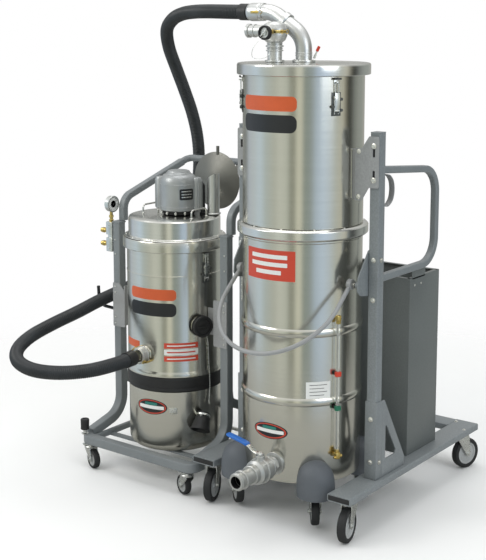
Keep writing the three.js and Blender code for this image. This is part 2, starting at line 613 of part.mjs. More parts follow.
add(vacuum, 'seal_band', turned([
  [VTANK.r - 8, VBAND.base], [VBAND.r, VBAND.base], [VBAND.r, VBAND.top], [VTANK.r - 8, VBAND.top],
]), MAT.rubber());

// Lid: a stepped pan with two bent wire handles.
function vacLid() {
  const { r, base, top } = VLID;
  const pan = turned([
    [0, top - 6], [r - 4, top - 12], [r - 4, base], [VRIM.r - 6, base], [VRIM.r - 6, base + 3], [r, base + 5],
    [r, top - 8], [r - 6, top - 1], [0, top + 4],
  ]);
  const wire = (s) => {
    const x = s * 128;
    return sweep(roundedPath([
      [x, -46, top - 4], [x, -46, top + 32], [x, 46, top + 32], [x, 46, top - 4],
    ], 14), roundSection(4, 6), 9);
  };
  return join(pan, wire(-1), wire(1));
}
add(vacuum, 'vac_lid', vacLid(), MAT.stainless());

const MOTOR = { x: 14, y: 11 };             // the drive head stands a little off the tank's axis
// Drive head: round body on a dark neck, with a cooling housing on each side.
function vacMotor() {
  const z0 = VLID.top + 4 + GAP;
  const body = turned([[0, z0], [66, z0], [66, z0 + 10], [75, z0 + 12], [76, z0 + 130], [66, z0 + 160],
    [40, z0 + 174], [0, z0 + 176]], 20);
  const housings = [-1, 1].map((s) => join(
    rod([s * 70, 30 * s, z0 + 14], [s * 70, 30 * s, z0 + 148], 22, 12),
    rod([s * 60, 26 * s, z0 + 20], [s * 60, 26 * s, z0 + 120], 24, 12)));
  return join(body, ...housings);
}
add(vacuum, 'vac_motor', vacMotor(), MAT.motor(), MOTOR.x, MOTOR.y, 0);

const EXHAUST = { x: 138, y: 80, r: 25, top: 1222 };
add(vacuum, 'exhaust_pipe', cut(
  rod([0, 0, VLID.top + 4 + GAP], [0, 0, EXHAUST.top], EXHAUST.r, 16),
  rod([0, 0, VLID.top + 12], [0, 0, EXHAUST.top + 60], EXHAUST.r - 3, 16),
  new THREE.BoxGeometry(120, 120, 60).rotateY(THREE.MathUtils.degToRad(-32))
    .translate(-14, 0, EXHAUST.top + 24),
), MAT.stainless(), EXHAUST.x, EXHAUST.y, 0);

// Dished round cover standing behind the head, with a peg on top and a stalk to the grip.
const DISH = { x: 0, y: 274, z: 1160, r: 121 };
function hoseDish() {
  const face = turned([[0, 34], [40, 30], [DISH.r, 0], [DISH.r - 3, -5], [40, 22], [0, 26]], 22)
    .rotateX(Math.PI / 2);
  const stalk = rod([0, -26, 0], [0, VHANDLE.y + 10 - DISH.y, 10], 13, 12);
  const up = rod([0, VHANDLE.y + 12 - DISH.y, 0],
    [0, VHANDLE.y + 38 - DISH.y, VHANDLE.z - DISH.z - VHANDLE.side / 2 - 1], 11, 12);
  const knee = new THREE.SphereGeometry(15, 8, 6).translate(0, VHANDLE.y + 12 - DISH.y, 6);
  const peg = rod([8, -2, DISH.r - 12], [8, -2, DISH.r + 26], 7, 12);
  return join(face, stalk, up, knee, peg);
}
add(vacuum, 'rear_dish', hoseDish(), MAT.stainless(), DISH.x, DISH.y, DISH.z);

// Air block on the left post: gauge on a brass stem above, two brass quick fittings outward.
function airBlock() {
  const x = -VPOST.x - VPOST.side / 2 - GAP;
  const y = VPOST.y - 8;
  const body = block(x - 34, x, y - 16, y + 16, 866, 994);
  const stem = rod([x - 16, y, 990], [x - 16, y, 1036], 8, 12);
  const dial = rod([x - 26, y, 1068], [x, y, 1068], 35, 20);
  const fittings = [898, 954].map((z) => rod([x - 30, y - 2, z], [x - 68, y - 6, z], 12, 12));
  return join(body, stem, dial, ...fittings);
}
add(vacuum, 'air_block', airBlock(), MAT.brass());

// Threaded rubber cap on the side port.
add(vacuum, 'port_cap', turned([[0, VTANK.r + 14.6], [40, VTANK.r + 14.6], [43, VTANK.r + 18],
  [43, VTANK.r + 36], [38, VTANK.r + 40], [0, VTANK.r + 40]], 20)
  .rotateY(Math.PI / 2).rotateZ(THREE.MathUtils.degToRad(-20.7)), MAT.rubber(), 0, 0, 634);

// Rubber cuff on a pipe stub low on the tank's right side.
function rubberCuff() {
  const a = THREE.MathUtils.degToRad(-14);
  const at = (r, z, side = 0) =>
    [r * Math.cos(a) - side * Math.sin(a), r * Math.sin(a) + side * Math.cos(a), z];
  const outer = rod(at(VTANK.r + 6, 292, 0), at(VTANK.r + 34, 214, -46), 24, 16, 40);
  const inner = rod(at(VTANK.r + 12, 276, -10), at(VTANK.r + 36, 208, -50), 18, 16, 34);
  return cut(outer, inner, rod([0, 0, 100], [0, 0, 362], VTANK.r - 3 + GAP, ROUND));
}
add(vacuum, 'rubber_cuff', rubberCuff(), MAT.rubber());

// Toggle latch below the rim on the tank's right front.
const VLATCH = { deg: -10.5, pivot: 820 };
add(vacuum, 'vac_latch', join(
  block(3, 7, -10, 10, 0, 105), rod([5, -10, 0], [5, 10, 0], 4, 10), block(4, 20, -7, 7, 101, 105),
), MAT.zinc(), VTANK.r * Math.cos(THREE.MathUtils.degToRad(VLATCH.deg)),
VTANK.r * Math.sin(THREE.MathUtils.degToRad(VLATCH.deg)), VLATCH.pivot)
  .rotation.z = THREE.MathUtils.degToRad(VLATCH.deg);

// Filter cartridge hanging inside the tank from its top plate.
add(vacuum, 'filter_cartridge', join(
  turned([[0, 620], [112, 620], [112, 900], [0, 900]], 24),
  turned([[0, 898], [182, 898], [182, 903], [0, 903]], 24),
), MAT.filter());

for (const spot of VAC_CASTER_SPOTS) {
  addCaster(vacuum, spot.name, VAC_CASTER, spot.x, spot.y, spot.yaw);
}
for (const [side, s] of [['left', -1], ['right', 1]]) {
  const { r, w, x, y } = VWHEEL;
  const tread = turned([[9, -w / 3], [r - 6, -w / 2], [r, -w / 4], [r, w / 4], [r - 6, w / 2], [9, w / 3]],
    24);
  add(vacuum, `vac_rear_wheel_${side}`, tread.rotateY(Math.PI / 2), MAT.tyre(), s * x, y, r);
}

const BUMPER = { x: -282, y: -249, r: 18 };
add(vacuum, 'corner_bumper', join(
  rod([BUMPER.x, BUMPER.y, VBAR.z + VBAR.side / 2 + GAP], [BUMPER.x, BUMPER.y, 160], 8, 12),
  rod([BUMPER.x, BUMPER.y, 156], [BUMPER.x, BUMPER.y, 202], BUMPER.r, 16),
), MAT.rubber());

// ---- Suction hose, from the separator's elbow over and behind the vacuum cart to the tank inlet ----
// Points are from the separator tank's axis.
const HOSE_ROUTE = [
  [-244, 0, 1856], [-356, 5, 1858], [-467, 31, 1860], [-573, 75, 1859], [-675, 125, 1852],
  [-773, 179, 1831], [-859, 240, 1787], [-909, 309, 1714], [-925, 375, 1622], [-924, 429, 1522],
  [-922, 478, 1419], [-926, 517, 1312], [-935, 538, 1200], [-946, 537, 1087], [-962, 512, 977],
  [-985, 461, 877], [-1008, 390, 791], [-1022, 300, 724], [-1023, 194, 686], [-1022, 81, 669],
  [-1023, -32, 652], [-1036, -142, 625], [-1074, -245, 590], [-1090, -352, 558], [-1053, -456, 534],
  [-970, -530, 517], [-860, -554, 508], [-752, -522, 508], [-673, -441, 512], [-643, -332, 516],
  [-652, -218.6, 515],
];
const hosePath = new THREE.CatmullRomCurve3(
  HOSE_ROUTE.map(([x, y, z]) => new THREE.Vector3(x + SEP.x, y + SEP.y, z)), false, 'centripetal');
add(machine, 'suction_hose', sweep(hosePath, roundSection(HOSE.d / 2, HOSE.sides), HOSE.steps), MAT.rubber());

export default machine;
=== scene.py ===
"""Looks for the dust collector: a separator cart and a vacuum cart joined by a suction hose.
Shapes are given in millimetres from each cart's drum axis and placed in metres."""

import math

import bmesh
import bpy
import numpy as np
from mathutils import Matrix, Vector
from mathutils.geometry import tessellate_polygon


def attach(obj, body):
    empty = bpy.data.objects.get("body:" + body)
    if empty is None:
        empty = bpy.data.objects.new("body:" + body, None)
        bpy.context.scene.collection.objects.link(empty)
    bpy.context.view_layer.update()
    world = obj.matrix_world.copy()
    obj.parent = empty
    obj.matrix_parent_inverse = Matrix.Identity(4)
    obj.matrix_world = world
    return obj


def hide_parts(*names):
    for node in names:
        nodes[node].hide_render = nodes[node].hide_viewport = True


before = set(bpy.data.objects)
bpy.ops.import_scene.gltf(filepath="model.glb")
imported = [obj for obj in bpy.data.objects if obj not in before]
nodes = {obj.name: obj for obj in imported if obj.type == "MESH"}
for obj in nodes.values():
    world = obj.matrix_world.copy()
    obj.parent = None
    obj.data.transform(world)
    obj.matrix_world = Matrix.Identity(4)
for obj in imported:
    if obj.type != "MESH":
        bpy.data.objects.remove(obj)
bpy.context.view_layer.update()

SEP = (361.2, -176.8)
VAC = (SEP[0] - 658.0, SEP[1] + 44.0)
MM = 0.001


def move(x, y, z):
    return Matrix.Translation((x, y, z))


SEP_M, VAC_M = move(*SEP, 0), move(*VAC, 0)

# ---------------------------------------------------------------- camera
LENS, SENSOR, SHIFT = 76.04889, 36.0, (-0.00446, -0.15)
YAW, PITCH, EYE = 0.65003, 0.14642, (2.78748, -3.7154, 1.82133)
cam_data = bpy.data.cameras.new("camera")
cam_data.lens, cam_data.sensor_width, cam_data.clip_end = LENS, SENSOR, 60.0
cam_data.shift_x, cam_data.shift_y = SHIFT
camera = bpy.data.objects.new("camera", cam_data)
bpy.context.scene.collection.objects.link(camera)
camera.location, camera.rotation_euler = EYE, (math.pi / 2 - PITCH, 0.0, YAW)
bpy.context.scene.camera = camera


# ---------------------------------------------------------------- mesh tools
def fillet(points, radius, n=4, closed=False):
    """The polyline with each corner rounded to radius, or as much of it as fits."""
    pts = [np.array(p, float) for p in points]
    out = []
    count = len(pts)
    for i, p in enumerate(pts):
        if not closed and i in (0, count - 1):
            out.append(p)
            continue
        a, b = pts[i - 1] - p, pts[(i + 1) % count] - p
        la, lb = np.linalg.norm(a), np.linalg.norm(b)
        a, b = a / la, b / lb
        angle = math.acos(max(-1.0, min(1.0, float(a @ b))))
        if angle > math.pi - 0.02:
            out.append(p)
            continue
        reach = min(radius / math.tan(angle / 2), la * 0.49, lb * 0.49)
        r = reach * math.tan(angle / 2)
        mid = (a + b) / np.linalg.norm(a + b)
        centre = p + mid * (r / math.sin(angle / 2))
        u, w = p + a * reach - centre, p + b * reach - centre
        sweep = math.pi - angle
        for k in range(n + 1):
            t = k / n
            out.append(centre + (math.sin((1 - t) * sweep) * u + math.sin(t * sweep) * w) / math.sin(sweep))
    return out


def stand(pos, axis, M=None):
    """A frame at pos whose Z runs along axis."""
    T = Matrix.Translation(pos) @ Vector((0, 0, 1)).rotation_difference(Vector(axis)).to_matrix().to_4x4()
    return T if M is None else M @ T


def polar(r, angle):
    return r * math.cos(angle), r * math.sin(angle)


def wall(rows, count, base=0):
    """The quads of a closed wall between rows of count points each."""
    return [[base + r * count + k, base + r * count + (k + 1) % count,
             base + (r + 1) * count + (k + 1) % count, base + (r + 1) * count + k]
            for r in range(rows - 1) for k in range(count)]


class Shape:
    """Collects solids in millimetres and becomes one object in metres."""

    def __init__(self):
        self.v, self.f, self.m = [], [], []

    def add(self, verts, faces, mat=0, M=None):
        base = len(self.v)
        for p in verts:
            q = Vector((float(p[0]), float(p[1]), float(p[2])))
            self.v.append(M @ q if M is not None else q)
        for face in faces:
            self.f.append([base + i for i in face])
            self.m.append(mat)
        return self

    def lathe(self, profile, seg=64, mat=0, M=None, closed=False, mats=None):
        """Turns (radius, z) points about +Z. mats names a material for each stretch of the profile."""
        verts, rings = [], []
        for r, z in profile:
            if r < 1e-6:
                rings.append([len(verts)])
                verts.append((0, 0, z))
            else:
                rings.append([len(verts) + k for k in range(seg)])
                verts += [(*polar(r, 2 * math.pi * k / seg), z)
                          for k in range(seg)]
        pairs = list(zip(rings, rings[1:]))
        if closed:
            pairs.append((rings[-1], rings[0]))
        for i, (a, b) in enumerate(pairs):
            faces = []
            for k in range(seg):
                k2 = (k + 1) % seg
                if len(a) == 1 and len(b) == 1:
                    continue
                if len(a) == 1:
                    faces.append([a[0], b[k2], b[k]])
                elif len(b) == 1:
                    faces.append([a[k], a[k2], b[0]])
                else:
                    faces.append([a[k], a[k2], b[k2], b[k]])
            if i == 0:
                self.add(verts, faces, mats[i] if mats else mat, M)
                base = len(self.v) - len(verts)
            else:
                for face in faces:
                    self.f.append([base + j for j in face])
                    self.m.append(mats[i] if mats else mat)
        return self

    def sweep(self, section, path, mat=0, M=None, hint=(0, 0, 1), caps=True, scale=None):
        """Carries a closed 2-D section along a path. hint is roughly the section's second axis."""
        pts = [np.array(p, float) for p in path]
        n = len(pts)
        tang = []
        for i in range(n):
            t = pts[min(i + 1, n - 1)] - pts[max(i - 1, 0)]
            tang.append(t / np.linalg.norm(t))
        up = np.array(hint, float)
        up -= tang[0] * (up @ tang[0])
        if np.linalg.norm(up) < 1e-6:
            up = np.array((1.0, 0.3, 0.2)); up -= tang[0] * (up @ tang[0])
        up /= np.linalg.norm(up)
        verts, count = [], len(section)
        for i, p in enumerate(pts):
            up = up - tang[i] * (up @ tang[i])
            up /= np.linalg.norm(up)
            side = np.cross(tang[i], up)
            k = scale[i] if scale else 1.0
            for a, b in section:
                verts.append(p + side * a * k + up * b * k)
        faces = wall(n, count)
        if caps:
            faces.append(list(range(count))[::-1])
            faces.append([(n - 1) * count + k for k in range(count)])
        return self.add(verts, faces, mat, M)

    def rod(self, a, b, r, r2=None, seg=20, mat=0, M=None, bevel=0.6):
        """A round bar from a to b with softened ends."""
        a, b = Vector(a), Vector(b)
        r2 = r if r2 is None else r2
        length = (b - a).length
        bev = min(bevel, r * 0.4, r2 * 0.4, length * 0.4)
        profile = [(0, 0), (r - bev, 0), (r, bev), (r2, length - bev), (r2 - bev, length), (0, length)]
        return self.lathe(profile, seg, mat, stand(a, b - a, M))

    def ring(self, a, b, r, hole, seg=24, mat=0, M=None, bevel=0.8, inner=None):
        """A round bar with a hole right through it. inner is the hole's material."""
        a, b = Vector(a), Vector(b)
        length = (b - a).length
        e = min(bevel, (r - hole) * 0.4, length * 0.4)
        inner = mat if inner is None else inner
        return self.lathe([(hole, 0), (r - e, 0), (r, e), (r, length - e), (r - e, length), (hole, length)],
                          seg, mat, stand(a, b - a, M), closed=True, mats=[mat] * 5 + [inner])

    def box(self, x0, x1, y0, y1, z0, z1, bevel=1.0, mat=0, M=None, segs=2):
        bm = bmesh.new()
        bmesh.ops.create_cube(bm, size=1.0)
        for v in bm.verts:
            v.co = Vector(((x0 + x1) / 2 + v.co.x * (x1 - x0), (y0 + y1) / 2 + v.co.y * (y1 - y0),
                           (z0 + z1) / 2 + v.co.z * (z1 - z0)))
        if bevel:
            size = min(abs(x1 - x0), abs(y1 - y0), abs(z1 - z0))
            bmesh.ops.bevel(bm, geom=list(bm.edges), offset=min(bevel, size * 0.45), segments=segs,
                            profile=0.5, affect="EDGES")
        bm.verts.index_update()
        self.add([v.co.copy() for v in bm.verts], [[v.index for v in f.verts] for f in bm.faces], mat, M)
        bm.free()
        return self

    def plate(self, outline, thick, mat=0, M=None, holes=(), bevel=0.6):
        """A flat outline in XY given a thickness along +Z, with a chamfer round its outer edge."""
        ring = [np.array(p, float) for p in outline]
        area = sum(p[0] * q[1] - q[0] * p[1] for p, q in zip(ring, ring[1:] + ring[:1]))
        if area < 0:
            ring.reverse()
        n = len(ring)
        inset = []
        for i, p in enumerate(ring):
            a, b = p - ring[i - 1], ring[(i + 1) % n] - p
            na = np.array((-a[1], a[0])) / (np.linalg.norm(a) + 1e-9)
            nb = np.array((-b[1], b[0])) / (np.linalg.norm(b) + 1e-9)
            mid = na + nb
            inset.append(p + mid * bevel / max(0.5, mid @ mid / 2) * 0.5)
        rows = [(inset, 0), (ring, bevel), (ring, thick - bevel), (inset, thick)]
        verts = [(p[0], p[1], z) for row, z in rows for p in row]
        faces, hole_rings = wall(4, n), []
        for hole in holes:
            h = [np.array(p, float) for p in hole]
            base = len(verts)
            m = len(h)
            verts += [(p[0], p[1], 0) for p in h] + [(p[0], p[1], thick) for p in h]
            harea = sum(p[0] * q[1] - q[0] * p[1] for p, q in zip(h, h[1:] + h[:1]))
            for k in range(m):
                k2 = (k + 1) % m
                quad = [base + k, base + m + k, base + m + k2, base + k2]
                faces.append(quad if harea > 0 else quad[::-1])
            hole_rings.append((base, m))
        for row, z_up in ((0, False), (3, True)):
            loops = [[row * n + k for k in range(n)]]
            loops += [[b + (m if z_up else 0) + k for k in range(m)] for b, m in hole_rings]
            flat = [i for loop in loops for i in loop]
            flat_loops = [[Vector((*verts[i][:2], 0)) for i in loop] for loop in loops]
            for t in tessellate_polygon(flat_loops):
                ids = [flat[j] for j in t]
                p, q, r3 = (verts[i] for i in ids)
                ccw = (q[0] - p[0]) * (r3[1] - p[1]) - (r3[0] - p[0]) * (q[1] - p[1]) > 0
                faces.append(ids if ccw == z_up else ids[::-1])
        return self.add(verts, faces, mat, M)

    def bolt(self, pos, axis, r=6.0, h=5.0, washer=True, mat=0, M=None, sides=6):
        """A hexagon head on a washer, standing out along axis."""
        T, z = stand(pos, axis, M), 0.0
        if washer:
            self.lathe([(0, 0), (r * 1.45, 0), (r * 1.45, 0.9), (r * 1.3, 1.3), (0, 1.3)], 20, mat, T)
            z = 1.3
        return self.lathe([(0, z), (r, z), (r, z + h - 1), (r - 1.2, z + h), (0, z + h)], sides, mat, T)

    def build(self, name, mats, body="frame", slot="frame", replaces=(), cart=SEP_M, angle=32):
        me = bpy.data.meshes.new(name)
        M = Matrix.Scale(MM, 4) @ cart if cart is not None else Matrix.Scale(MM, 4)
        me.from_pydata([M @ v for v in self.v], [], self.f)
        for m in mats if isinstance(mats, (list, tuple)) else [mats]:
            me.materials.append(m)
        me.polygons.foreach_set("material_index", self.m)
        me.polygons.foreach_set("use_smooth", [True] * len(self.f))
        me.validate()
        bm = bmesh.new()
        bm.from_mesh(me)
        bmesh.ops.remove_doubles(bm, verts=bm.verts, dist=1e-6)
        bmesh.ops.recalc_face_normals(bm, faces=bm.faces)
        bm.to_mesh(me)
        bm.free()
        me.set_sharp_from_angle(angle=math.radians(angle))
        obj = bpy.data.objects.new(name, me)
        bpy.context.scene.collection.objects.link(obj)
        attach(obj, body)
        if replaces:
            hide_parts(*replaces)
        return obj


def circle(r, n=16):
    return [polar(r, 2 * math.pi * k / n) for k in range(n)]


def rounded_rect(w, h, r, n=3):
    return [tuple(p) for p in fillet([(-w / 2, -h / 2), (w / 2, -h / 2), (w / 2, h / 2), (-w / 2, h / 2)],
                                     r, n, closed=True)]


def face_yz(x):
    """Takes a plate's XY outline to the YZ plane, thickness along +X from x."""
    return move(x, 0, 0) @ Matrix(((0, 0, 1, 0), (1, 0, 0, 0), (0, 1, 0, 0), (0, 0, 0, 1)))


def face_xz(y):
    """Takes a plate's XY outline to the XZ plane, thickness along -Y from y."""
    return move(0, y, 0) @ Matrix(((1, 0, 0, 0), (0, 0, -1, 0), (0, 1, 0, 0), (0, 0, 0, 1)))


def spin(deg):
    return Matrix.Rotation(math.radians(deg), 4, "Z")


def on_drum(deg, r, z):
    """A frame on a drum's side: X outward, Z up, at that angle, radius and height."""
    return spin(deg) @ move(r, 0, z)


# ---------------------------------------------------------------- materials
def make_node(tree, kind, values=None, **props):
    """A shader node with its properties set, and its inputs set by name or number."""
    n = tree.nodes.new(kind)
    for key, value in props.items():
        setattr(n, key, value)
    for key, value in (values or {}).items():
        n.inputs[key].default_value = value
    return n


def span_values(lo, hi, a, b):
    return {"From Min": a, "From Max": b, "To Min": lo, "To Max": hi}


def set_stops(node, stops):
    """Puts the colour ramp's stops at their places."""
    el = node.color_ramp.elements
    while len(el) < len(stops):
        el.new(0.5)
    for e, (pos, col) in zip(el, stops):
        e.position, e.color = pos, (*col, 1.0) if isinstance(col, tuple) else (col, col, col, 1.0)


class Mat:
    """A node material with a Principled shader and a few shorthands for procedural detail."""

    def __init__(self, name, color, rough, metal=0.0, coat=0.0, aniso=0.0):
        self.mat = bpy.data.materials.new(name)
        self.mat.use_nodes = True
        self.nt = self.mat.node_tree
        self.p = self.nt.nodes["Principled BSDF"]
        for key, value in (("Base Color", (*color, 1.0)), ("Roughness", rough), ("Metallic", metal),
                           ("Coat Weight", coat), ("Anisotropic", aniso)):
            self.p.inputs[key].default_value = value
        self.coords = self.node("ShaderNodeTexCoord")

    def node(self, kind, values=None, **props):
        return make_node(self.nt, kind, values, **props)

    def link(self, a, b):
        self.nt.links.new(a, b)

    def noise(self, scale, detail=3.0, stretch=(1, 1, 1), rough=0.55):
        mapping = self.node("ShaderNodeMapping", {"Scale": stretch})
        self.link(self.coords.outputs["Object"], mapping.inputs["Vector"])
        n = self.node("ShaderNodeTexNoise", {"Scale": scale, "Detail": detail, "Roughness": rough})
        self.link(mapping.outputs["Vector"], n.inputs["Vector"])
        return n.outputs["Fac"]

    def ramp(self, fac, stops):
        r = self.node("ShaderNodeValToRGB")
        set_stops(r, stops)
        self.link(fac, r.inputs["Fac"])
        return r.outputs["Color"]

    def span(self, fac, lo, hi, a=0.3, b=0.7):
        r = self.node("ShaderNodeMapRange", span_values(lo, hi, a, b))
        self.link(fac, r.inputs["Value"])
        return r.outputs["Result"]

    def mix(self, fac, a, b):
        m = self.node("ShaderNodeMix", data_type="RGBA")
        for sock, value in ((m.inputs[0], fac), (m.inputs[6], a), (m.inputs[7], b)):
            if isinstance(value, bpy.types.NodeSocket):
                self.link(value, sock)
            elif isinstance(value, tuple):
                sock.default_value = (*value, 1.0)
            else:
                sock.default_value = value
        return m.outputs[2]

    def set(self, name, socket):
        self.link(socket, self.p.inputs[name])

    def bump(self, height, strength, distance):
        b = self.node("ShaderNodeBump", {"Strength": strength, "Distance": distance})
        self.link(height, b.inputs["Height"])
        self.link(b.outputs["Normal"], self.p.inputs["Normal"])


def tint(color, k):
    return tuple(min(1.0, c * k) for c in color)


def steel(name, color, rough, brush=(2, 2, 240), aniso=0.0, axis="Z"):
    """Brushed stainless: fine lines across the drum's height, soft staining and faint handling marks."""
    m = Mat(name, color, rough, 1.0, aniso=aniso)
    lines = m.noise(1.0, 4.0, brush, 0.6)
    cloud = m.noise(5.0, 3.0)
    scuff = m.noise(38.0, 5.0, (1, 1, 0.35), 0.7)
    base = m.mix(m.span(lines, 0.0, 1.0), tint(color, 0.97), tint(color, 1.03))
    base = m.mix(m.span(cloud, 0.0, 0.3), base, tint(color, 0.88))
    m.set("Base Color", base)
    m.set("Roughness", m.mix(m.span(scuff, 0.0, 0.3, 0.55, 0.8), m.span(lines, rough * 0.92, rough * 1.1),
                             (0.42, 0.42, 0.42)))
    m.bump(lines, 0.012, 0.0004)
    if aniso:
        tangent = m.node("ShaderNodeTangent", direction_type="RADIAL", axis=axis)
        m.link(tangent.outputs["Tangent"], m.p.inputs["Tangent"])
        m.p.inputs["Anisotropic Rotation"].default_value = 0.25
    return m.mat


def paint(name, color, rough=0.42, wear=0.35):
    """Enamel on steel: faint orange peel, dust-dulled patches and worn, brighter edges."""
    m = Mat(name, color, rough, 0.0, coat=0.15)
    m.p.inputs["Coat Roughness"].default_value = 0.35
    cloud = m.noise(7.0, 4.0)
    fine = m.noise(420.0, 2.0)
    speck = m.noise(160.0, 4.0, rough=0.75)
    base = m.mix(m.span(cloud, 0.0, 1.0), tint(color, 0.93), tint(color, 1.06))
    geo = m.node("ShaderNodeNewGeometry")
    edge = m.span(geo.outputs["Pointiness"], 0.0, 1.0, 0.52, 0.62)
    edge = m.mix(edge, (0.0, 0.0, 0.0), m.ramp(speck, [(0.45, 0.0), (0.6, wear)]))
    m.set("Base Color", m.mix(edge, base, tint(color, 1.7)))
    m.set("Roughness", m.span(cloud, rough * 0.85, rough * 1.2))
    m.bump(fine, 0.05, 0.0003)
    return m.mat


def plain(name, color, rough, metal=0.0, grain=300.0, bump=0.08, vary=0.12, cloud=12.0, coat=0.0):
    """Moulded, cast or machined stock: mottled colour, varied roughness and a fine grain."""
    m = Mat(name, color, rough, metal, coat)
    big, small = m.noise(cloud, 3.0), m.noise(grain, 3.0)
    m.set("Base Color", m.mix(m.span(big, 0.0, 1.0), tint(color, 1 - vary), tint(color, 1 + vary)))
    m.set("Roughness", m.span(small, rough * 0.8, rough * 1.2))
    m.bump(small, bump, 0.0004)
    return m.mat


STEEL = (0.70, 0.685, 0.62)
M_DRUM = steel("drum_steel", STEEL, 0.2, aniso=0.3)
M_RIM = steel("rim_steel", (0.74, 0.735, 0.70), 0.2, aniso=0.3)
M_PIPE = steel("pipe_steel", (0.66, 0.665, 0.655), 0.36, brush=(40, 40, 260))
M_CAST = plain("cast_steel", (0.60, 0.605, 0.59), 0.4, 0.9, 140.0, 0.06, 0.1)
M_FRAME = paint("grey_enamel", (0.200, 0.218, 0.228))
# The tool bin gets a darker enamel than the frame: painted shade for the bin standing in the shadow of the drum and
# posts.
M_BIN_PAINTED_SHADE = paint("bin_enamel_painted_shade", (0.130, 0.142, 0.140), 0.4)
M_BAIL = paint("bail_enamel", (0.30, 0.305, 0.31), 0.34)
# name, colour, roughness, metal, grain, bump, variation, cloud size
(M_ZINC, M_BOLT, M_TYRE, M_HUB, M_RUBBER, M_HOSE, M_DOME, M_BRASS, M_MOTOR, M_DARK_AND_HOLE_SHADE, M_BLUE, M_RED,
 M_GREEN, M_WHITE, M_ORANGE, M_BLACK, M_REDPRINT, M_TEAL, M_DISH, M_KNOB, M_CLOTH) = (plain(*row) for row in (
    ("zinc_plate", (0.72, 0.73, 0.71), 0.27, 1.0, 260.0, 0.05, 0.14, 30.0),
    ("bolt_zinc", (0.78, 0.77, 0.72), 0.3, 1.0, 400.0, 0.05, 0.1),
    ("tyre_rubber", (0.018, 0.019, 0.020), 0.62, 0.0, 500.0, 0.25, 0.25),
    ("wheel_hub", (0.42, 0.43, 0.43), 0.45, 0.0, 300.0, 0.08, 0.1),
    ("black_rubber", (0.016, 0.016, 0.017), 0.5, 0.0, 320.0, 0.2, 0.3),
    ("hose_black", (0.020, 0.023, 0.026), 0.42, 0.0, 260.0, 0.1, 0.25, 9.0),
    ("slate_plastic", (0.105, 0.117, 0.133), 0.58, 0.0, 700.0, 0.22, 0.08),
    ("brass", (0.62, 0.46, 0.16), 0.27, 1.0, 300.0, 0.08, 0.15, 40.0),
    ("motor_silver", (0.40, 0.415, 0.42), 0.38, 0.55, 420.0, 0.1, 0.08),
    # Near black: the colour of a few dark parts, and painted shade inside holes, slots and pipe bores.
    ("dark_parts_and_hole_shade", (0.010, 0.010, 0.011), 0.7, 0.0, 200.0, 0.05, 0.2),
    ("blue_grip", (0.010, 0.13, 0.50), 0.35, 0.0, 300.0, 0.1, 0.12),
    ("red_plastic", (0.62, 0.045, 0.02), 0.4, 0.0, 300.0, 0.08, 0.1),
    ("green_plastic", (0.01, 0.16, 0.085), 0.4, 0.0, 300.0, 0.08, 0.1),
    ("white_print", (0.80, 0.80, 0.78), 0.45, 0.0, 300.0, 0.03, 0.04),
    ("orange_print", (0.62, 0.105, 0.028), 0.4, 0.0, 300.0, 0.03, 0.06),
    ("black_print", (0.014, 0.015, 0.017), 0.35, 0.0, 300.0, 0.03, 0.15),
    ("red_print", (0.60, 0.06, 0.03), 0.4, 0.0, 300.0, 0.03, 0.06),
    ("teal_print", (0.02, 0.20, 0.16), 0.4, 0.0, 300.0, 0.03, 0.08),
    ("dish_steel", (0.20, 0.198, 0.178), 0.42, 0.6, 200.0, 0.08, 0.12, 6.0),
    ("latch_plate_dark", (0.085, 0.09, 0.088), 0.42, 0.35, 300.0, 0.1, 0.15),
    ("filter_cloth", (0.75, 0.72, 0.62), 0.9, 0.0, 900.0, 0.4, 0.08),
))


def clear(name):
    m = Mat(name, (0.93, 0.94, 0.92), 0.08)
    m.p.inputs["Transmission Weight"].default_value = 0.85
    m.p.inputs["IOR"].default_value = 1.35
    m.set("Roughness", m.span(m.noise(60.0, 3.0), 0.05, 0.16))
    return m.mat


M_CLEAR = clear("clear_tube")

# ---------------------------------------------------------------- hose
HOSE_D = 57.0
HOSE_ROUTE = [
    (-244, 0, 1856), (-356, 5, 1858), (-467, 31, 1860), (-573, 75, 1859), (-675, 125, 1852),
    (-773, 179, 1831), (-859, 240, 1787), (-909, 309, 1714), (-925, 375, 1622), (-924, 429, 1522),
    (-922, 478, 1419), (-926, 517, 1312), (-935, 538, 1200), (-946, 537, 1087), (-962, 512, 977),
    (-985, 461, 877), (-1008, 390, 791), (-1022, 300, 724), (-1023, 194, 686), (-1022, 81, 669),
    (-1023, -32, 652), (-1036, -142, 625), (-1074, -245, 590), (-1090, -352, 558), (-1053, -456, 534),
    (-970, -530, 517), (-860, -554, 508), (-752, -522, 508), (-673, -441, 512), (-643, -332, 516),
    (-652, -218.6, 515),
]


def catmull(points, step):
    """A centripetal spline through the points, sampled about every step millimetres."""
    pts = [np.array(p, float) for p in points]
    pts = [2 * pts[0] - pts[1]] + pts + [2 * pts[-1] - pts[-2]]
    out = []
    for i in range(1, len(pts) - 2):
        p0, p1, p2, p3 = pts[i - 1:i + 3]
        t = [0.0]
        for a, b in ((p0, p1), (p1, p2), (p2, p3)):
            t.append(t[-1] + np.linalg.norm(b - a) ** 0.5)
        n = max(2, int(np.linalg.norm(p2 - p1) / step))
        for k in range(n):
            u = t[1] + (t[2] - t[1]) * k / n
            a1 = (t[1] - u) / (t[1] - t[0]) * p0 + (u - t[0]) / (t[1] - t[0]) * p1
            a2 = (t[2] - u) / (t[2] - t[1]) * p1 + (u - t[1]) / (t[2] - t[1]) * p2
            a3 = (t[3] - u) / (t[3] - t[2]) * p2 + (u - t[2]) / (t[3] - t[2]) * p3
            b1 = (t[2] - u) / (t[2] - t[0]) * a1 + (u - t[0]) / (t[2] - t[0]) * a2
            b2 = (t[3] - u) / (t[3] - t[1]) * a2 + (u - t[1]) / (t[3] - t[1]) * a3
            out.append((t[2] - u) / (t[2] - t[1]) * b1 + (u - t[1]) / (t[2] - t[1]) * b2)
    out.append(pts[-2])
    return out


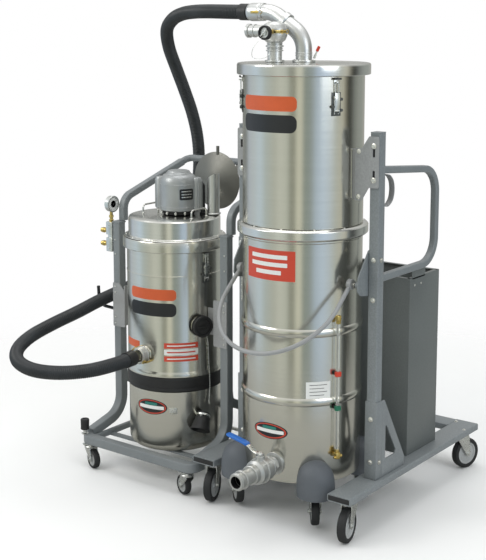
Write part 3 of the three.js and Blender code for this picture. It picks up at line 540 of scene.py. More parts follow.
def resample(points, step):
    pts = np.array(points)
    gaps = np.linalg.norm(np.diff(pts, axis=0), axis=1)
    s = np.concatenate([[0], np.cumsum(gaps)])
    n = int(round(s[-1] / step))
    want = np.linspace(0, s[-1], n + 1)
    return [np.array([np.interp(w, s, pts[:, k]) for k in range(3)]) for w in want], s[-1]


RIB, RIB_INSET = 7.2, 1.1
hose_line, hose_length = resample(catmull(HOSE_ROUTE, 4.0), RIB / 4)
rib_scale = [1.0, 0.975, 0.92, 0.975]
hose = Shape().sweep(circle(HOSE_D / 2 - RIB_INSET, 22), hose_line,
                     scale=[rib_scale[i % 4] for i in range(len(hose_line))])
hose_obj = hose.build("suction_hose_ribbed", M_HOSE, slot="rubber", replaces=["suction_hose"], angle=60)


# ---------------------------------------------------------------- labels on the drums
def decal(name, deg, z, width_deg, height, mat, r, cart, layer=1, kind="rect", corner=8.0, body="frame",
          slot="stainless"):
    """A thin sticker that follows a drum's side, rectangular with round corners or oval."""
    half_w, half_h = math.radians(width_deg) * r / 2, height / 2
    if kind == "oval":
        edge = [(half_w * math.cos(t), half_h * math.sin(t)) for t in np.linspace(0, 2 * math.pi, 64, False)]
    else:
        corners = fillet([(-half_w, -half_h), (half_w, -half_h), (half_w, half_h), (-half_w, half_h)],
                         corner, 5, closed=True)
        edge = []
        for a, b in zip(corners, corners[1:] + corners[:1]):
            n = max(1, int(np.linalg.norm(b - a) / 12))
            edge += [a + (b - a) * k / n for k in range(n)]
    rr = r + 0.22 * layer
    rings, verts, n = 9, [], len(edge)
    for k in range(rings + 1):
        f = k / rings
        for x, y in edge:
            th = math.radians(deg) + f * x / r
            verts.append((*polar(rr, th), z + f * y))
    for x, y in edge:
        th = math.radians(deg) + x / r
        verts.append(((r - 0.6) * math.cos(th), (r - 0.6) * math.sin(th), z + y))
    return Shape().add(verts, wall(rings + 2, n)).build(name, mat, body=body, slot=slot, cart=cart, angle=50)


# ---------------------------------------------------------------- casters
def caster(name, c, x, y, yaw, cart, lift=0.0, plate_body="frame", top_plate=True):
    """Swivel caster: zinc fork with raceway, dark tyre on a grey hub, axle bolt, plate bolted on top."""
    base = cart @ move(x, y, lift) @ spin(yaw)
    w, r, h, trail = c["w"], c["r"], c["height"], c["trail"]
    cheek = w / 2 + 2
    top = h - 4
    fork = Shape()
    crown = c["crown"]
    fork.lathe([(0, top - 15), (crown * 0.86, top - 15), (crown * 0.98, top - 12), (crown, top - 7),
                (crown * 0.9, top - 4), (crown * 0.72, top - 3), (crown * 0.7, top), (0, top)], 40)
    z0 = h - 15
    side = fillet([(-crown * 0.82, z0 + 3), (crown * 0.82, z0 + 3), (crown * 0.95, z0 - 8),
                   (trail + 13, r - 2), (trail + 5, r - 13), (trail - 6, r - 13), (trail - 13, r + 2),
                   (-crown * 0.86, z0 - 10)], 8, 4, closed=True)
    for y0 in (cheek, -cheek - 3):
        fork.plate([(p[0], p[1]) for p in side], 3.0, M=face_xz(y0 + 3), bevel=0.8)
        fork.sweep(rounded_rect(4, 6, 1.5), [(k * crown * 0.62, y0 + 1.5, z0 - 2) for k in (-1, 1)])
    fork.rod((trail, -cheek - 7, r), (trail, cheek + 7, r), 4.6, seg=16)
    fork.bolt((trail, cheek + 3, r), (0, 1, 0), 6.4, 4.2)
    fork.bolt((trail, -cheek - 3, r), (0, -1, 0), 6.4, 4.2)
    fork.build(f"{name}_fork_detail", M_ZINC, body=f"{name}_fork", slot="zinc", replaces=[f"{name}_fork"],
               cart=base)
    wheel = Shape()
    hw = w / 2
    profile = [(6, -hw * 0.82), (11, -hw * 0.85), (12.5, -hw * 0.6), (r * 0.6, -hw * 0.5),
               (r * 0.66, -hw * 0.78), (r * 0.72, -hw * 0.8), (r * 0.74, -hw * 0.9), (r * 0.9, -hw * 0.98),
               (r * 0.975, -hw * 0.78), (r * 0.998, -hw * 0.4), (r, 0)]
    profile += [(a, -b) for a, b in profile[-2::-1]]
    n = len(profile)
    mats = [1 if i < 5 or i >= n - 6 else 0 for i in range(n)]
    axle = move(trail, 0, r) @ Matrix.Rotation(math.pi / 2, 4, "X")
    wheel.lathe(profile, 48, M=axle, closed=True, mats=mats)
    wheel.ring((trail, -hw * 0.84, r), (trail, hw * 0.84, r), 9.5, 6.2, mat=1)
    for k in range(5):
        a = 2 * math.pi * k / 5
        px, pz = trail + r * 0.42 * math.cos(a), r + r * 0.42 * math.sin(a)
        for s in (-1, 1):
            wheel.rod((px, s * hw * 0.45, pz), (px, s * hw * 0.6, pz), r * 0.09, seg=12, mat=1)
    wheel.build(f"{name}_wheel_detail", [M_TYRE, M_HUB], body=f"{name}_wheel", slot="tyre",
                replaces=[f"{name}_wheel"], cart=base)
    if top_plate:
        half = c["plate"]
        plate = Shape().box(x - half, x + half, y - half, y + half, h - 3.6 + lift, h + 0.2 + lift, 0.8)
        for sx in (-1, 1):
            for sy in (-1, 1):
                plate.bolt((x + sx * half * 0.74, y + sy * half * 0.74, h - 3.6 + lift), (0, 0, -1), 5.2, 4)
        plate.build(f"{name}_top_plate", M_ZINC, body=plate_body, slot="zinc", cart=cart)


RAIL_CASTER = dict(r=62.5, w=32, height=156, trail=28, crown=34, plate=40)
DOLLY_CASTER = dict(r=50, w=30, height=123.4, trail=28, crown=32, plate=30)
VAC_CASTER = dict(r=39, w=26, height=99, trail=24, crown=27, plate=25)
RAIL_X, RAIL_W, RAIL_TOP, RAIL_H = 306.5, 94.0, 182.0, 26.0
for name, x, y, yaw in (("rail_front_right", RAIL_X, -140, -79), ("rail_front_left", -RAIL_X, -140, -72),
                        ("rail_rear_right", RAIL_X, 708, 70), ("rail_rear_left", -RAIL_X, 708, 95)):
    caster(name, RAIL_CASTER, x, y, yaw, SEP_M)
DOLLY_SPOTS = (("dolly_front_right", 172, -157, 128), ("dolly_front_left", -172, -157, 140),
               ("dolly_rear_right", 172, 157, 100), ("dolly_rear_left", -172, 157, 75))
for name, x, y, yaw in DOLLY_SPOTS:
    caster(name, DOLLY_CASTER, x, y, yaw, SEP_M, 12.0, top_plate=False)
for name, x, y, yaw in (("vac_front_left", -262, -236, -20), ("vac_front_right", 256, -236, 160)):
    caster(name, VAC_CASTER, x, y, yaw, VAC_M)

# ---------------------------------------------------------------- separator cart frame
RAIL_Y0, RAIL_Y1 = -216.0, 771.0
rails = Shape()
z_mid = RAIL_TOP - RAIL_H / 2
for x0, x1 in ((-353.5, -252.0), (259.5, 353.5)):
    mid, wide = (x0 + x1) / 2, x1 - x0
    rails.sweep(rounded_rect(wide, RAIL_H, 3.5), [(mid, RAIL_Y0 + 2, z_mid), (mid, RAIL_Y1, z_mid)])
    rails.box(x0 + 3.5, x1 - 3.5, RAIL_Y0 + 0.2, RAIL_Y0 + 6, z_mid - 9.5, z_mid + 9.5, 2.0, mat=1)
    rails.box(x0 + 1, x1 - 1, -190, -92, RAIL_TOP - RAIL_H - 3.4, RAIL_TOP - RAIL_H + 1, 0.8)
rails.box(-253, 261, 685, 770.5, RAIL_TOP - RAIL_H, RAIL_TOP - 0.3, 2.5)
for s in (-1, 1):
    joint = 259.5 if s > 0 else -252.0
    rails.rod((joint, 687, RAIL_TOP - 0.8), (joint, 769, RAIL_TOP - 0.8), 2.4, seg=10)
    rails.bolt((s * 270, 740, RAIL_TOP), (0, 0, 1), 5.5, 4, mat=2)
    rails.bolt((s * 342, 668, RAIL_TOP), (0, 0, 1), 4.5, 3, mat=2)
rails.build("base_frame_welded", [M_FRAME, M_RUBBER, M_BOLT], replaces=["sep_base_frame"])

POST_X, POST_Y, POST_TOP = {"right": 311.0, "left": -266.0}, 8.0, 1442.0
for side, s in (("right", 1), ("left", -1)):
    x = POST_X[side]
    post = Shape()
    post.sweep(rounded_rect(40, 40, 4, 4), [(x, POST_Y, 182.5), (x, POST_Y, POST_TOP - 2.5)], hint=(0, 1, 0))
    post.box(x - 20, x + 20, POST_Y - 20, POST_Y + 20, POST_TOP - 4, POST_TOP, 1.6)
    post.box(x - 24.6, x + 24.6, POST_Y - 21.8, POST_Y + 20.6, 182.5, 471.5, 2.2)
    gusset = [(26, 203.5), (191, 203.5), (191, 216), (41, 471.5), (24, 471.5)]
    hole = fillet([(50, 246), (120, 246), (126, 262), (58, 372), (50, 372)], 5, 4, closed=True)
    post.plate(fillet(gusset, 5, 3, closed=True), 5.0, M=face_yz(x + s * 22.5 - 2.5), holes=[hole])
    post.plate([(26, 300), (60, 203.5), (26, 203.5)], 4.0, M=face_yz(x - s * 20 - 2.0))
    post.box(x - 24, x + (24.6 if s > 0 else 19.8), 24, 191, 182.6, 204.5, 1.6)
    path = fillet([(x, 18, 1308), (x, 431, 1272), (x, 431, 918), (x, 18, 918)], 95, 14)
    post.sweep(rounded_rect(26, 26, 5, 4), path)
    for z in (1306, 918):
        post.sweep(rounded_rect(31, 31, 9, 4), [(x, 27, z), (x, 31.5, z)], scale=[1.0, 0.86])
    hook = [(x + s * 6, 30, 1180), (x + s * 6, 56, 1176), (x + s * 6, 86, 1194), (x + s * 6, 97, 1226),
            (x + s * 6, 90, 1262), (x + s * 6, 66, 1285), (x + s * 6, 50, 1288)]
    strip = catmull(hook, 6)
    post.sweep(rounded_rect(22, 3.4, 1.2), strip, mat=1)
    post.build(f"sep_post_{side}_welded", [M_FRAME, M_BAIL], replaces=[f"sep_post_{side}"])
    trim = Shape()
    for z in ((989, 845) if s > 0 else (845,)):
        trim.bolt((x, POST_Y - 20, z), (0, -1, 0), 6.6, 5)
    for z in (407, 246):
        trim.bolt((x, POST_Y - 21.8, z), (0, -1, 0), 6.6, 5)
    for z in (989, 246):
        trim.bolt((x + s * (20 if z > 500 else 24.6), POST_Y, z), (s, 0, 0), 6.0, 4)
    for y in (44, 70, 150):
        trim.bolt((x + s * 8, y, 204.5), (0, 0, 1), 6.5, 5)
    # Each hole in the post front is a near-black disc inside a frame-coloured rim: painted shade for the open hole.
    for z in (1165, 1093, 744, 665, 597, 503):
        T = move(x, POST_Y - 20, z) @ Matrix.Rotation(math.pi / 2, 4, "X")
        trim.lathe([(0, -0.4), (5.0, -0.4), (5.0, 0.25), (6.3, 0.4), (6.6, 0.0), (6.6, -1)], 24, M=T,
                   mats=[1, 1, 2, 2, 2])
    trim.build(f"post_bolts_{side}", [M_BOLT, M_DARK_AND_HOLE_SHADE, M_FRAME], slot="zinc")

    plate = Shape()
    outline = [(327, 1246), (331, 1250), (331, 1422), (327, 1427), (291, 1427), (262, 1384), (234, 1384),
               (234, 1198), (262, 1198), (291, 1246)]
    lip, lug_bolt = (234.0, 237.5), 250.0
    if s < 0:
        outline = [(-282, 1246), (-286, 1250), (-286, 1422), (-282, 1427), (-250, 1427), (-240, 1384),
                   (-226, 1384), (-226, 1198), (-240, 1198), (-250, 1246)]
        lip, lug_bolt = (-229.5, -226.0), -233.5
    slots = [fillet([(x - 5, z - 22), (x + 5, z - 22), (x + 5, z + 22), (x - 5, z + 22)], 4.8, 4, closed=True)
             for z in (1376, 1286)]
    plate.plate(fillet(outline, 5, 3, closed=True), 4.0, M=face_xz(-16.3), holes=slots)
    plate.box(lip[0], lip[1], -19.5, -11, 1203, 1379, 0.8)
    for z in (1372, 1212):
        plate.bolt((lug_bolt, -20.4, z), (0, -1, 0), 6.0, 4.2, mat=1)
    for z in (1394, 1274):
        plate.bolt((x, -20.4, z), (0, -1, 0), 7.0, 5, mat=1)
    # A near-black strip inside each slot: painted shade in the slot.
    for z in (1376, 1286):
        plate.box(x - 4.6, x + 4.6, -17.4, -16.6, z - 21, z + 21, 0.2, mat=2)
    plate.build(f"tank_bracket_{side}_plate", [M_BAIL, M_BOLT, M_DARK_AND_HOLE_SHADE], replaces=[f"tank_bracket_{side}"])

# Cheeks for the bail's pins: flat inside the right post, on a bolted flange before the left one.
for side, s, x0, back, front, top, low in (("right", 1, 285.6, 24.0, -8.0, 1022.0, 852.0),
                                           ("left", -1, -262.0, -12.4, -24.0, 1010.0, 856.0)):
    cheek = Shape()
    edge = [(back, top), (front, top), (-76, 934), (-80, 884), (-60, 866), (back, low)]
    cheek.plate(fillet(edge, 8, 4, closed=True), 5.0, M=face_yz(x0))
    cheek.rod((s * 240, -54, 902), (x0 + 2.5, -54, 902), 6.0, seg=20, mat=1)
    if s > 0:
        cheek.bolt((265, -54, 902), (-1, 0, 0), 9.0, 4.5, washer=True, mat=1)
        cheek.ring((268, -54, 902), (284, -54, 902), 12, 6.1, mat=0)
        for y, z in ((8, 1004), (8, 872), (-30, 884)):
            cheek.bolt((x0, y, z), (-1, 0, 0), 5.6, 4, mat=1)
    else:
        cheek.ring((-253.8, -54, 902), (-256.8, -54, 902), 12, 6.1, mat=1)
        cheek.bolt((x0, -54, 902), (-1, 0, 0), 9.0, 4.5, washer=True, mat=1)
        cheek.box(-284, -257, -17.4, -12.4, 856, 1010, 1.0)
        for z in (989, 876):
            cheek.bolt((-273, -17.4, z), (0, -1, 0), 6.0, 4.4, mat=1)
    cheek.build(f"lever_bracket_{side}_cheek", [M_FRAME, M_BOLT], replaces=[f"lever_bracket_{side}"])

# ---------------------------------------------------------------- sheet bin
BX, BY0, BY1, BZ0, BZ1 = 302.0, 270.0, 497.0, 182.6, 872.0
tool_bin = Shape()
t = 2.6
tool_bin.box(-BX, BX, BY0, BY0 + t, BZ0, BZ1, 0.9)
tool_bin.box(-BX, BX, BY1 - t, BY1, BZ0, BZ1, 0.9)
tool_bin.box(-BX, -BX + t, BY0 + 1, BY1 - 1, BZ0, BZ1, 0.9)
tool_bin.box(BX - t, BX, BY0 + 1, BY1 - 1, BZ0, BZ1, 0.9)
tool_bin.box(-BX + 1, BX - 1, BY0 + 1, BY1 - 1, BZ0 + 0.2, BZ0 + t, 0.6)
for y0, y1 in ((BY0 + 0.4, BY0 + 16), (BY1 - 16, BY1 - 0.4)):
    tool_bin.box(-BX + 1, BX - 1, y0, y1, BZ1 - 2.4, BZ1 - 0.1, 0.6)
for s in (-1, 1):
    tool_bin.box(*sorted((s * (BX - 16), s * (BX - 0.4))), BY0 + 1, BY1 - 1, BZ1 - 2.4, BZ1 - 0.1, 0.6)
    tab = [(BY0 + 16, BZ1 - 6), (BY0 + 116, BZ1 - 6), (BY0 + 116, 904.2), (BY0 + 16, 904.2)]
    tool_bin.plate(fillet(tab, 5, 3, closed=True), 2.6, M=face_yz(BX - 2.6 if s > 0 else -BX))
    for y in (BY0 + 36, BY0 + 84):
        T = move(s * BX, y, 842) @ Matrix.Rotation(s * math.pi / 2, 4, "Y")
        tool_bin.lathe([(4.6, -0.5), (4.4, 0.8), (2.8, 2.0), (0, 2.4)], 16, mat=1, M=T)
# The bin's darker enamel is painted shade from the drum and posts over it.
tool_bin.build("tool_bin_sheet", [M_BIN_PAINTED_SHADE, M_BOLT], slot="dark_sheet", replaces=["tool_bin"])

# ---------------------------------------------------------------- separator drum, upper half
R, WALL = 220.5, 2.5
upper = Shape()
upper.lathe([(R - WALL, 1101.5), (R, 1101.5), (R, 1104), (R, 1240), (R, 1420), (R, 1633.5),
             (R - WALL, 1633.5), (R - WALL, 1300)], 128, closed=True)
lip = [(R - 14, 1101.2), (R - 0.2, 1101.2), (R - 0.2, 1105), (R - 14, 1105)]
upper.lathe(fillet(lip, 0.8, 2, closed=True), 96, closed=True)
for s in (-1, 1):
    upper.box(218 if s > 0 else -242, 262 if s > 0 else -218, -16, -10, 1202, 1380, 0.9, mat=1)
    upper.rod((s * 220, -17.5, 1204), (s * 220, -17.5, 1378), 2.2, seg=8, mat=0)
upper.rod((0.0, R - 0.8, 1106), (0.0, R - 0.8, 1633), 1.6, seg=8)
upper.build("upper_drum", [M_DRUM, M_BAIL], slot="stainless", replaces=["upper_tank"])

collar = Shape()
edge = [(212, 1058.8), (232, 1058.8), (240.6, 1066), (240.6, 1093), (232, 1100.2), (212, 1100.2)]
collar.lathe(fillet(edge, 4.5, 5, closed=True), 128, closed=True)
for deg in range(15, 360, 30):
    if deg % 180 > 20:
        collar.bolt((0, 0, 0), (0, 0, 1), 4.2, 2.2, washer=False, mat=1, M=on_drum(deg, 226, 1100.0))
collar.build("clamp_collar", [M_RIM, M_BOLT], slot="stainless", replaces=["seal_collar"])

lid = Shape()
lid.lathe([(0, 1676.8), (60, 1676.4), (150, 1675.2), (205, 1673.2), (214, 1671.0), (219, 1671.0),
           (226, 1674.4), (233, 1676.0), (238.6, 1674.6), (241.4, 1670.5), (241.8, 1665), (241.8, 1640),
           (241.2, 1636.4), (239.2, 1634.8), (236.6, 1636.4), (236, 1640), (236, 1662), (222, 1666), (0, 1668)], 128)
lid.build("drum_lid", M_RIM, slot="stainless", replaces=["tank_lid"])


def toggle_latch(name, deg, r, foot, cart):
    """Over-centre latch: a dark base plate and a strike on the drum, and the moving lever and hook."""
    strike = foot + (102 if cart is SEP_M else 92)
    fixed, T = Shape(), on_drum(deg, r, 0)
    fixed.box(-0.2, 2.2, -18, 18, foot - 18, foot + 64, 0.7, M=T, mat=1)
    for y in (-10.5, 10.5):
        fixed.box(1, 7.6, y - 1.1, y + 1.1, foot - 8, foot + 42, 0.7, M=T)
    for y in (-8, 8):
        for z in (foot + 50, foot - 10):
            fixed.bolt((2.2, y, z), (1, 0, 0), 2.6, 1.6, washer=False, M=T)
    for x0, x1, z0 in ((1, 11, strike + 4), (0.4, 3, strike - 10)):
        fixed.box(x0, x1, -11, 11, z0, strike + 7, 0.8, M=T)
    fixed.rod((9.5, -15, strike + 8.5), (9.5, 15, strike + 8.5), 3.6, seg=14, M=T, mat=1)
    for y, z in ((-17, foot + 14), (17, foot + 2), (17, foot + 40)):
        fixed.rod((2, y, z), (11, y, z), 5.4, seg=18, M=T, mat=1)
    fixed.build(f"{name}_base", [M_ZINC, M_KNOB], slot="zinc", cart=cart)
    lever, T = Shape(), on_drum(deg, r, foot)
    line = catmull([(5, 0, 0), (8.6, 0, 18), (10.4, 0, 40), (8.6, 0, 62)], 6)
    lever.sweep(rounded_rect(20, 2.4, 0.9), line, M=T, hint=(1, 0, 0))
    lever.rod((5, -9, 0), (5, 9, 0), 3.6, seg=16, M=T)
    for y in (-6.2, 6.2):
        lever.rod((5.5, y, 34), (6.5, y, 96), 2.1, seg=12, M=T)
    lever.rod((6.5, -6.2, 96), (6.5, 6.2, 96), 1.7, seg=10, M=T)
    lever.box(4.0, 13.5, -6, 6, 96.5, 100.5, 1.0, M=T)
    for y0, y1, knob in ((-10, 10, 3.4), (-14.5, -9, 5.0)):
        lever.rod((7.5, y0, 46), (7.5, y1, 46), knob, seg=14, M=T)
    lever.build(f"{name}_lever", M_ZINC, body=name, slot="zinc", replaces=[name], cart=cart)


toggle_latch("lid_latch_right", -25, R, 1516, SEP_M)
toggle_latch("lid_latch_left", -141, R, 1516, SEP_M)
toggle_latch("vac_latch", -10.5, 193.5, 820, VAC_M)

# ---------------------------------------------------------------- outlet elbow and inlet manifold
ELBOW_R, ELBOW_Z = 30.0, 1856.0
elbow = Shape()
run = fillet([(0, 0, 1668), (0, 0, 1768), (-138, 0, ELBOW_Z), (-206, 0, ELBOW_Z)], 120, 16)
elbow.sweep(circle(ELBOW_R - 0.6, 40), run, caps=False)
elbow.ring((0, 0, 1677.0), (0, 0, 1684.5), 42, ELBOW_R - 1.2, seg=48)
for k in range(6):
    a = math.radians(60 * k + 20)
    elbow.bolt((*polar(36.4, a), 1684.5), (0, 0, 1), 2.8, 2.4, washer=False, mat=1)
for z in (1700, 1708):
    elbow.ring((0, 0, z), (0, 0, z + 3), ELBOW_R + 1.4, ELBOW_R - 1, seg=40)
elbow.ring((-72, 0, 1813.9), (-92, 0, 1826.7), ELBOW_R + 5.0, ELBOW_R - 1, seg=44, bevel=4)
elbow.ring((-175, 0, ELBOW_Z), (-187, 0, ELBOW_Z), ELBOW_R + 3.0, ELBOW_R - 1, seg=40, bevel=2)
elbow.lathe(fillet([(26, 0), (32.5, 0), (33.4, 8), (33.4, 44), (31, 54), (26, 54)], 1.5, 3, closed=True), 48,
            closed=True, M=move(-187, 0, ELBOW_Z) @ Matrix.Rotation(-math.pi / 2, 4, "Y"))
elbow.build("outlet_elbow_pipe", [M_PIPE, M_BOLT], slot="stainless", replaces=["outlet_elbow"])


def cam_levers(name, centre, along, reach, side=(0, 1, 0), fold=1.0, cart=SEP_M):
    """Two brass cam arms folded back along a coupling, with their pins and pull rings."""
    c, d, sd = Vector(centre), Vector(along).normalized(), Vector(side)
    up = d.cross(sd).normalized()
    arms = Shape()
    for k in (-1, 1):
        pivot = c + sd * (k * reach)
        arms.rod(pivot - up * 8, pivot + up * 8, 4.2, seg=14)
        tip = pivot + sd * (k * 4.5) + d * 44 * fold
        mid = pivot + sd * (k * 5.5) + d * 16 * fold
        path = catmull([pivot - d * 6 * fold, mid, tip], 5)
        arms.sweep(rounded_rect(11, 4.6, 1.8), path, hint=sd)
        ring = [tip + d * (fold * 6) + d * (7 * math.cos(t)) + up * (7 * math.sin(t))
                for t in np.linspace(0, 2 * math.pi, 18)]
        arms.sweep(circle(1.0, 6), ring, caps=False)
    arms.build(name, M_BRASS, slot="brass", cart=cart)


cam_levers("outlet_cam_arms", (-224, 0, ELBOW_Z), (-1, 0, 0), 27, side=(0, 1, 0), fold=-1.0)

manifold = Shape()
IX, IY, IZ = -84.0, -63.0, 1782.0
manifold.ring((IX, IY, 1672), (IX, IY, 1752), 26.2, 22.5, seg=40)
for z, dz, grow in ((1677.5, 7, 9.5), (1716, 5, 5.5), (1724, 4, 3.5), (1731, 6, 6.5), (1740, 4, 3)):
    manifold.ring((IX, IY, z), (IX, IY, z + dz), 26 + grow, 24, seg=40, bevel=1.5)
manifold.lathe(fillet([(0, 1744), (25, 1744), (39, 1756), (45.5, 1772), (45.5, 1796), (38, 1812), (22, 1821),
                       (0, 1821.4)], 6, 4), 48, M=move(IX, IY, 0))
# The side branch's bore walls and a disc across its bore are near black: painted shade inside the pipe.
manifold.ring((IX - 30, IY, IZ + 6), (IX - 119.8, IY, IZ + 6), 21.2, 17, seg=36, inner=1)
manifold.ring((IX - 108, IY, IZ + 6), (IX - 119.9, IY, IZ + 6), 25.4, 17, seg=36, bevel=1.6, inner=1)
manifold.ring((IX - 84, IY, IZ + 6), (IX - 92, IY, IZ + 6), 24.0, 18, seg=36, bevel=1.2)
manifold.rod((IX - 40, IY, IZ + 6), (IX - 44, IY, IZ + 6), 17.2, mat=1)
manifold.rod((IX + 1.5, IY - 30, IZ), (IX + 4, IY - 60, IZ), 21, seg=36)
manifold.ring((IX + 3.3, IY - 56, IZ), (IX + 4, IY - 73.6, IZ), 25.6, 19, seg=40, bevel=2.2, mat=1, inner=1)
manifold.rod((IX + 4, IY - 60, IZ), (IX + 4, IY - 68, IZ), 19, seg=36, mat=0)
manifold.rod((IX + 4, IY - 66, IZ), (IX + 4, IY - 73, IZ), 9, seg=24, mat=2)
manifold.sweep(rounded_rect(11, 5, 2), [(IX - 10, IY - 70.5, IZ - 12), (IX + 18, IY - 70.5, IZ + 12)], mat=2)
manifold.build("inlet_manifold_body", [M_CAST, M_DARK_AND_HOLE_SHADE, M_ZINC], slot="stainless", replaces=["inlet_manifold"])
cam_levers("inlet_cam_arms", (IX + 24, IY - 36, IZ + 4), (0.75, -0.1, 0), 9, side=(0.13, 0.99, 0))

wire = Shape()
loop = [(IX - 2, IY - 72, IZ - 16), (IX - 24, IY - 76, 1748), (IX - 44, IY - 78, 1714),
        (IX - 46, IY - 70, 1694), (IX - 26, IY - 52, 1690), (IX - 4, IY - 34, 1700), (IX, IY - 30, 1716)]
wire.sweep(circle(1.0, 8), catmull(loop, 5))
wire.rod((30, 20, 1690), (36, 22, 1704), 4.4, seg=14)
wire.rod((34, 21.3, 1700), (44, 24, 1722), 3.0, seg=12)
wire.rod((41, 23.2, 1716), (49, 25.4, 1733), 5.5, seg=14, mat=1)
wire.build("lid_lanyard_and_cock", [M_ZINC, M_RED], slot="zinc")

# ---------------------------------------------------------------- lower drum on its dolly
lower = Shape()
bead = []
for z in (475, 728):
    bead += [(R + out, z + dz) for out, dz in ((0, -15), (3.2, -11), (5.6, -4), (5.6, 4), (3.2, 11), (0, 15))]
outer = [(0, 172.3), (R - 8, 172.3), (R - 1.5, 174), (R, 179)] + bead
outer += [(R, 1049), (R + 2.6, 1052), (R + 2.6, 1057.6)]
inner = [(R - WALL, 1057.6), (R - WALL, 176), (0, 176)]
lower.lathe(outer + inner, 128)
lower.rod((0.0, R - 0.8, 182), (0.0, R - 0.8, 1048), 1.6, seg=8)
lower.build("lower_drum", M_DRUM, body="lower_tank", slot="stainless", replaces=["lower_tank"])

nipple = Shape()
VX, VZ = 32.0, 240.0
nipple.ring((VX, -209, VZ), (VX, -222.5, VZ), 41, 21, seg=40)
nipple.ring((VX, -213.8, VZ), (VX, -246, VZ), 25, 20, seg=32, bevel=1.2)
nipple.build("drain_spud", M_CAST, body="lower_tank", slot="stainless")

valve = Shape()
# The outlet end's bore walls and a disc across the bore at y 380 to 384 are near black: painted shade inside the
# bore.
for y0, y1, r, hole, seg, edge, bore in (
        (228, 250, 33, 21, 6, 2.2, 0), (250, 262, 38.5, 21, 40, 2, 0), (262, 342, 43.5, 20, 40, 9, 0),
        (296, 308, 47.6, 20, 40, 2, 0), (342, 366, 35, 20, 40, 2, 0), (366, 404, 29.5, 20.5, 40, 1.5, 1),
        (404, 418, 34, 20.5, 40, 2, 1), (418, 445.6, 29.5, 22, 40, 1.5, 1), (436, 441, 32, 22, 40, 1.2, 1)):
    valve.ring((VX, -y0, VZ), (VX, -y1, VZ), r, hole, seg=seg, bevel=edge, inner=bore)
valve.rod((VX, -380, VZ), (VX, -384, VZ), 20.6, mat=1)
valve.ring((VX, -302, VZ + 32), (VX, -302, VZ + 55.6), 17, 6, seg=28)
for k in range(4):
    a = math.radians(45 + 90 * k)
    px, pz = VX + 38.7 * math.cos(a), VZ + 38.7 * math.sin(a)
    valve.rod((px, -288, pz), (px, -318, pz), 7.0, seg=14)
    valve.bolt((px, -318, pz), (0, -1, 0), 5.6, 4.4, washer=False, mat=2)
valve.build("drain_valve_casting", [M_CAST, M_DARK_AND_HOLE_SHADE, M_BOLT], body="lower_tank", slot="stainless",
            replaces=["drain_valve_body"])

lever = Shape()
LZ = 296.4
bar = [(VX + dx, y, LZ + dz) for dx, y, dz in ((10, -303, 4.5), (-24, -300, 6), (-52, -296, 20),
                                               (-66, -294.5, 26), (-100, -292.5, 33), (-156, -290, 42))]
bar_line = catmull(bar, 6)
lever.sweep(rounded_rect(20, 4.2, 1.4), bar_line)
grip = [p for p in bar_line if p[0] < VX - 56]
lever.sweep(rounded_rect(25, 11, 4.5, 4), grip, mat=1, scale=[0.82] + [1.0] * (len(grip) - 3) + [0.96, 0.8])
lever.rod((VX, -302, LZ - 0.6), (VX, -302, LZ + 7), 11, seg=24)
lever.bolt((VX, -302, LZ + 6.6), (0, 0, 1), 8.0, 5.4, washer=False, mat=2)
lever.build("drain_lever_blue", [M_ZINC, M_BLUE, M_BOLT], body="drain_valve_lever", slot="zinc",
            replaces=["drain_valve_lever"])

rack = Shape()
for dx in (-5, 5):
    rack.rod((-R - 6.5, dx * 2.2, 560), (-R - 6.5, dx * 2.2, 730), 2.0, seg=10)
for z in (566, 606, 646, 686, 724):
    rack.rod((-R - 6.5, -11, z), (-R - 6.5, 11, z), 1.8, seg=10)
for z in (580, 712):
    rack.rod((-R + 0.5, 0, z), (-R - 6.5, 0, z), 2.2, seg=10)
rack.build("drum_side_rack", M_ZINC, body="lower_tank", slot="zinc")

dolly = Shape()
edge = [(96, 163.8), (188, 163.8), (188, 171.5), (96, 171.5)]
dolly.lathe(fillet(edge, 1.6, 2, closed=True), 96, closed=True, mat=1)
for sx, sy in ((1, -1), (-1, -1), (1, 1), (-1, 1)):
    dolly.sweep(rounded_rect(44, 12, 2.5), [(sx * 96, sy * 88, 156), (sx * 150, sy * 137, 150)], mat=1)
for sx in (-1, 1):
    dolly.box(sx * 104 - 9, sx * 104 + 9, -92, 92, 156, 164.2, 2, mat=1)
dome = [(0, 262), (10, 261.7), (26, 258), (41, 249.5), (54, 236), (63, 218), (68, 196), (69.7, 172),
        (69.8, 148), (68.2, 135), (64, 132.2), (0, 132.2)]
for _, cx, cy, _ in DOLLY_SPOTS:
    dolly.lathe(dome, 64, M=move(cx, cy, 0))
dolly.build("dolly_and_domes", [M_DOME, M_FRAME], body="lower_tank", slot="dome", replaces=["tank_dolly"],
            angle=40)

gauge = Shape()
G = on_drum(-22.5, 237.5, 0)
for a, b, r, seg, mat in (
        ((0, 0, 290), (0, 0, 772), 6.2, 24, 0), ((-9, 0, 274), (-17.5, 0, 274), 8, 6, 1),
        ((0, 8, 272), (0, 19, 272), 6.5, 6, 1), ((0, 0, 286), (0, 0, 297), 8.6, 6, 1),
        ((4, -8, 270), (4, -17, 270), 4.5, 16, 1), ((0, 0, 762), (0, 0, 774), 8.6, 6, 1),
        ((-9, 0, 783), (-17.5, 0, 783), 7, 6, 1)):
    gauge.rod(a, b, r, seg=seg, mat=mat, M=G)
gauge.box(-9, 9, -10, 10, 262.6, 288, 3, mat=1, M=G)
gauge.box(-9, 8, -8, 8, 773, 793, 3, mat=1, M=G)
for z, mat in ((578, 2), (452, 3)):
    gauge.box(-6, 8.6, -11.5, 10, z - 9, z + 9, 2.2, mat=mat, M=G)
    gauge.box(-17, -5, -9, 2, z - 5, z + 7, 1.5, mat=4, M=G)
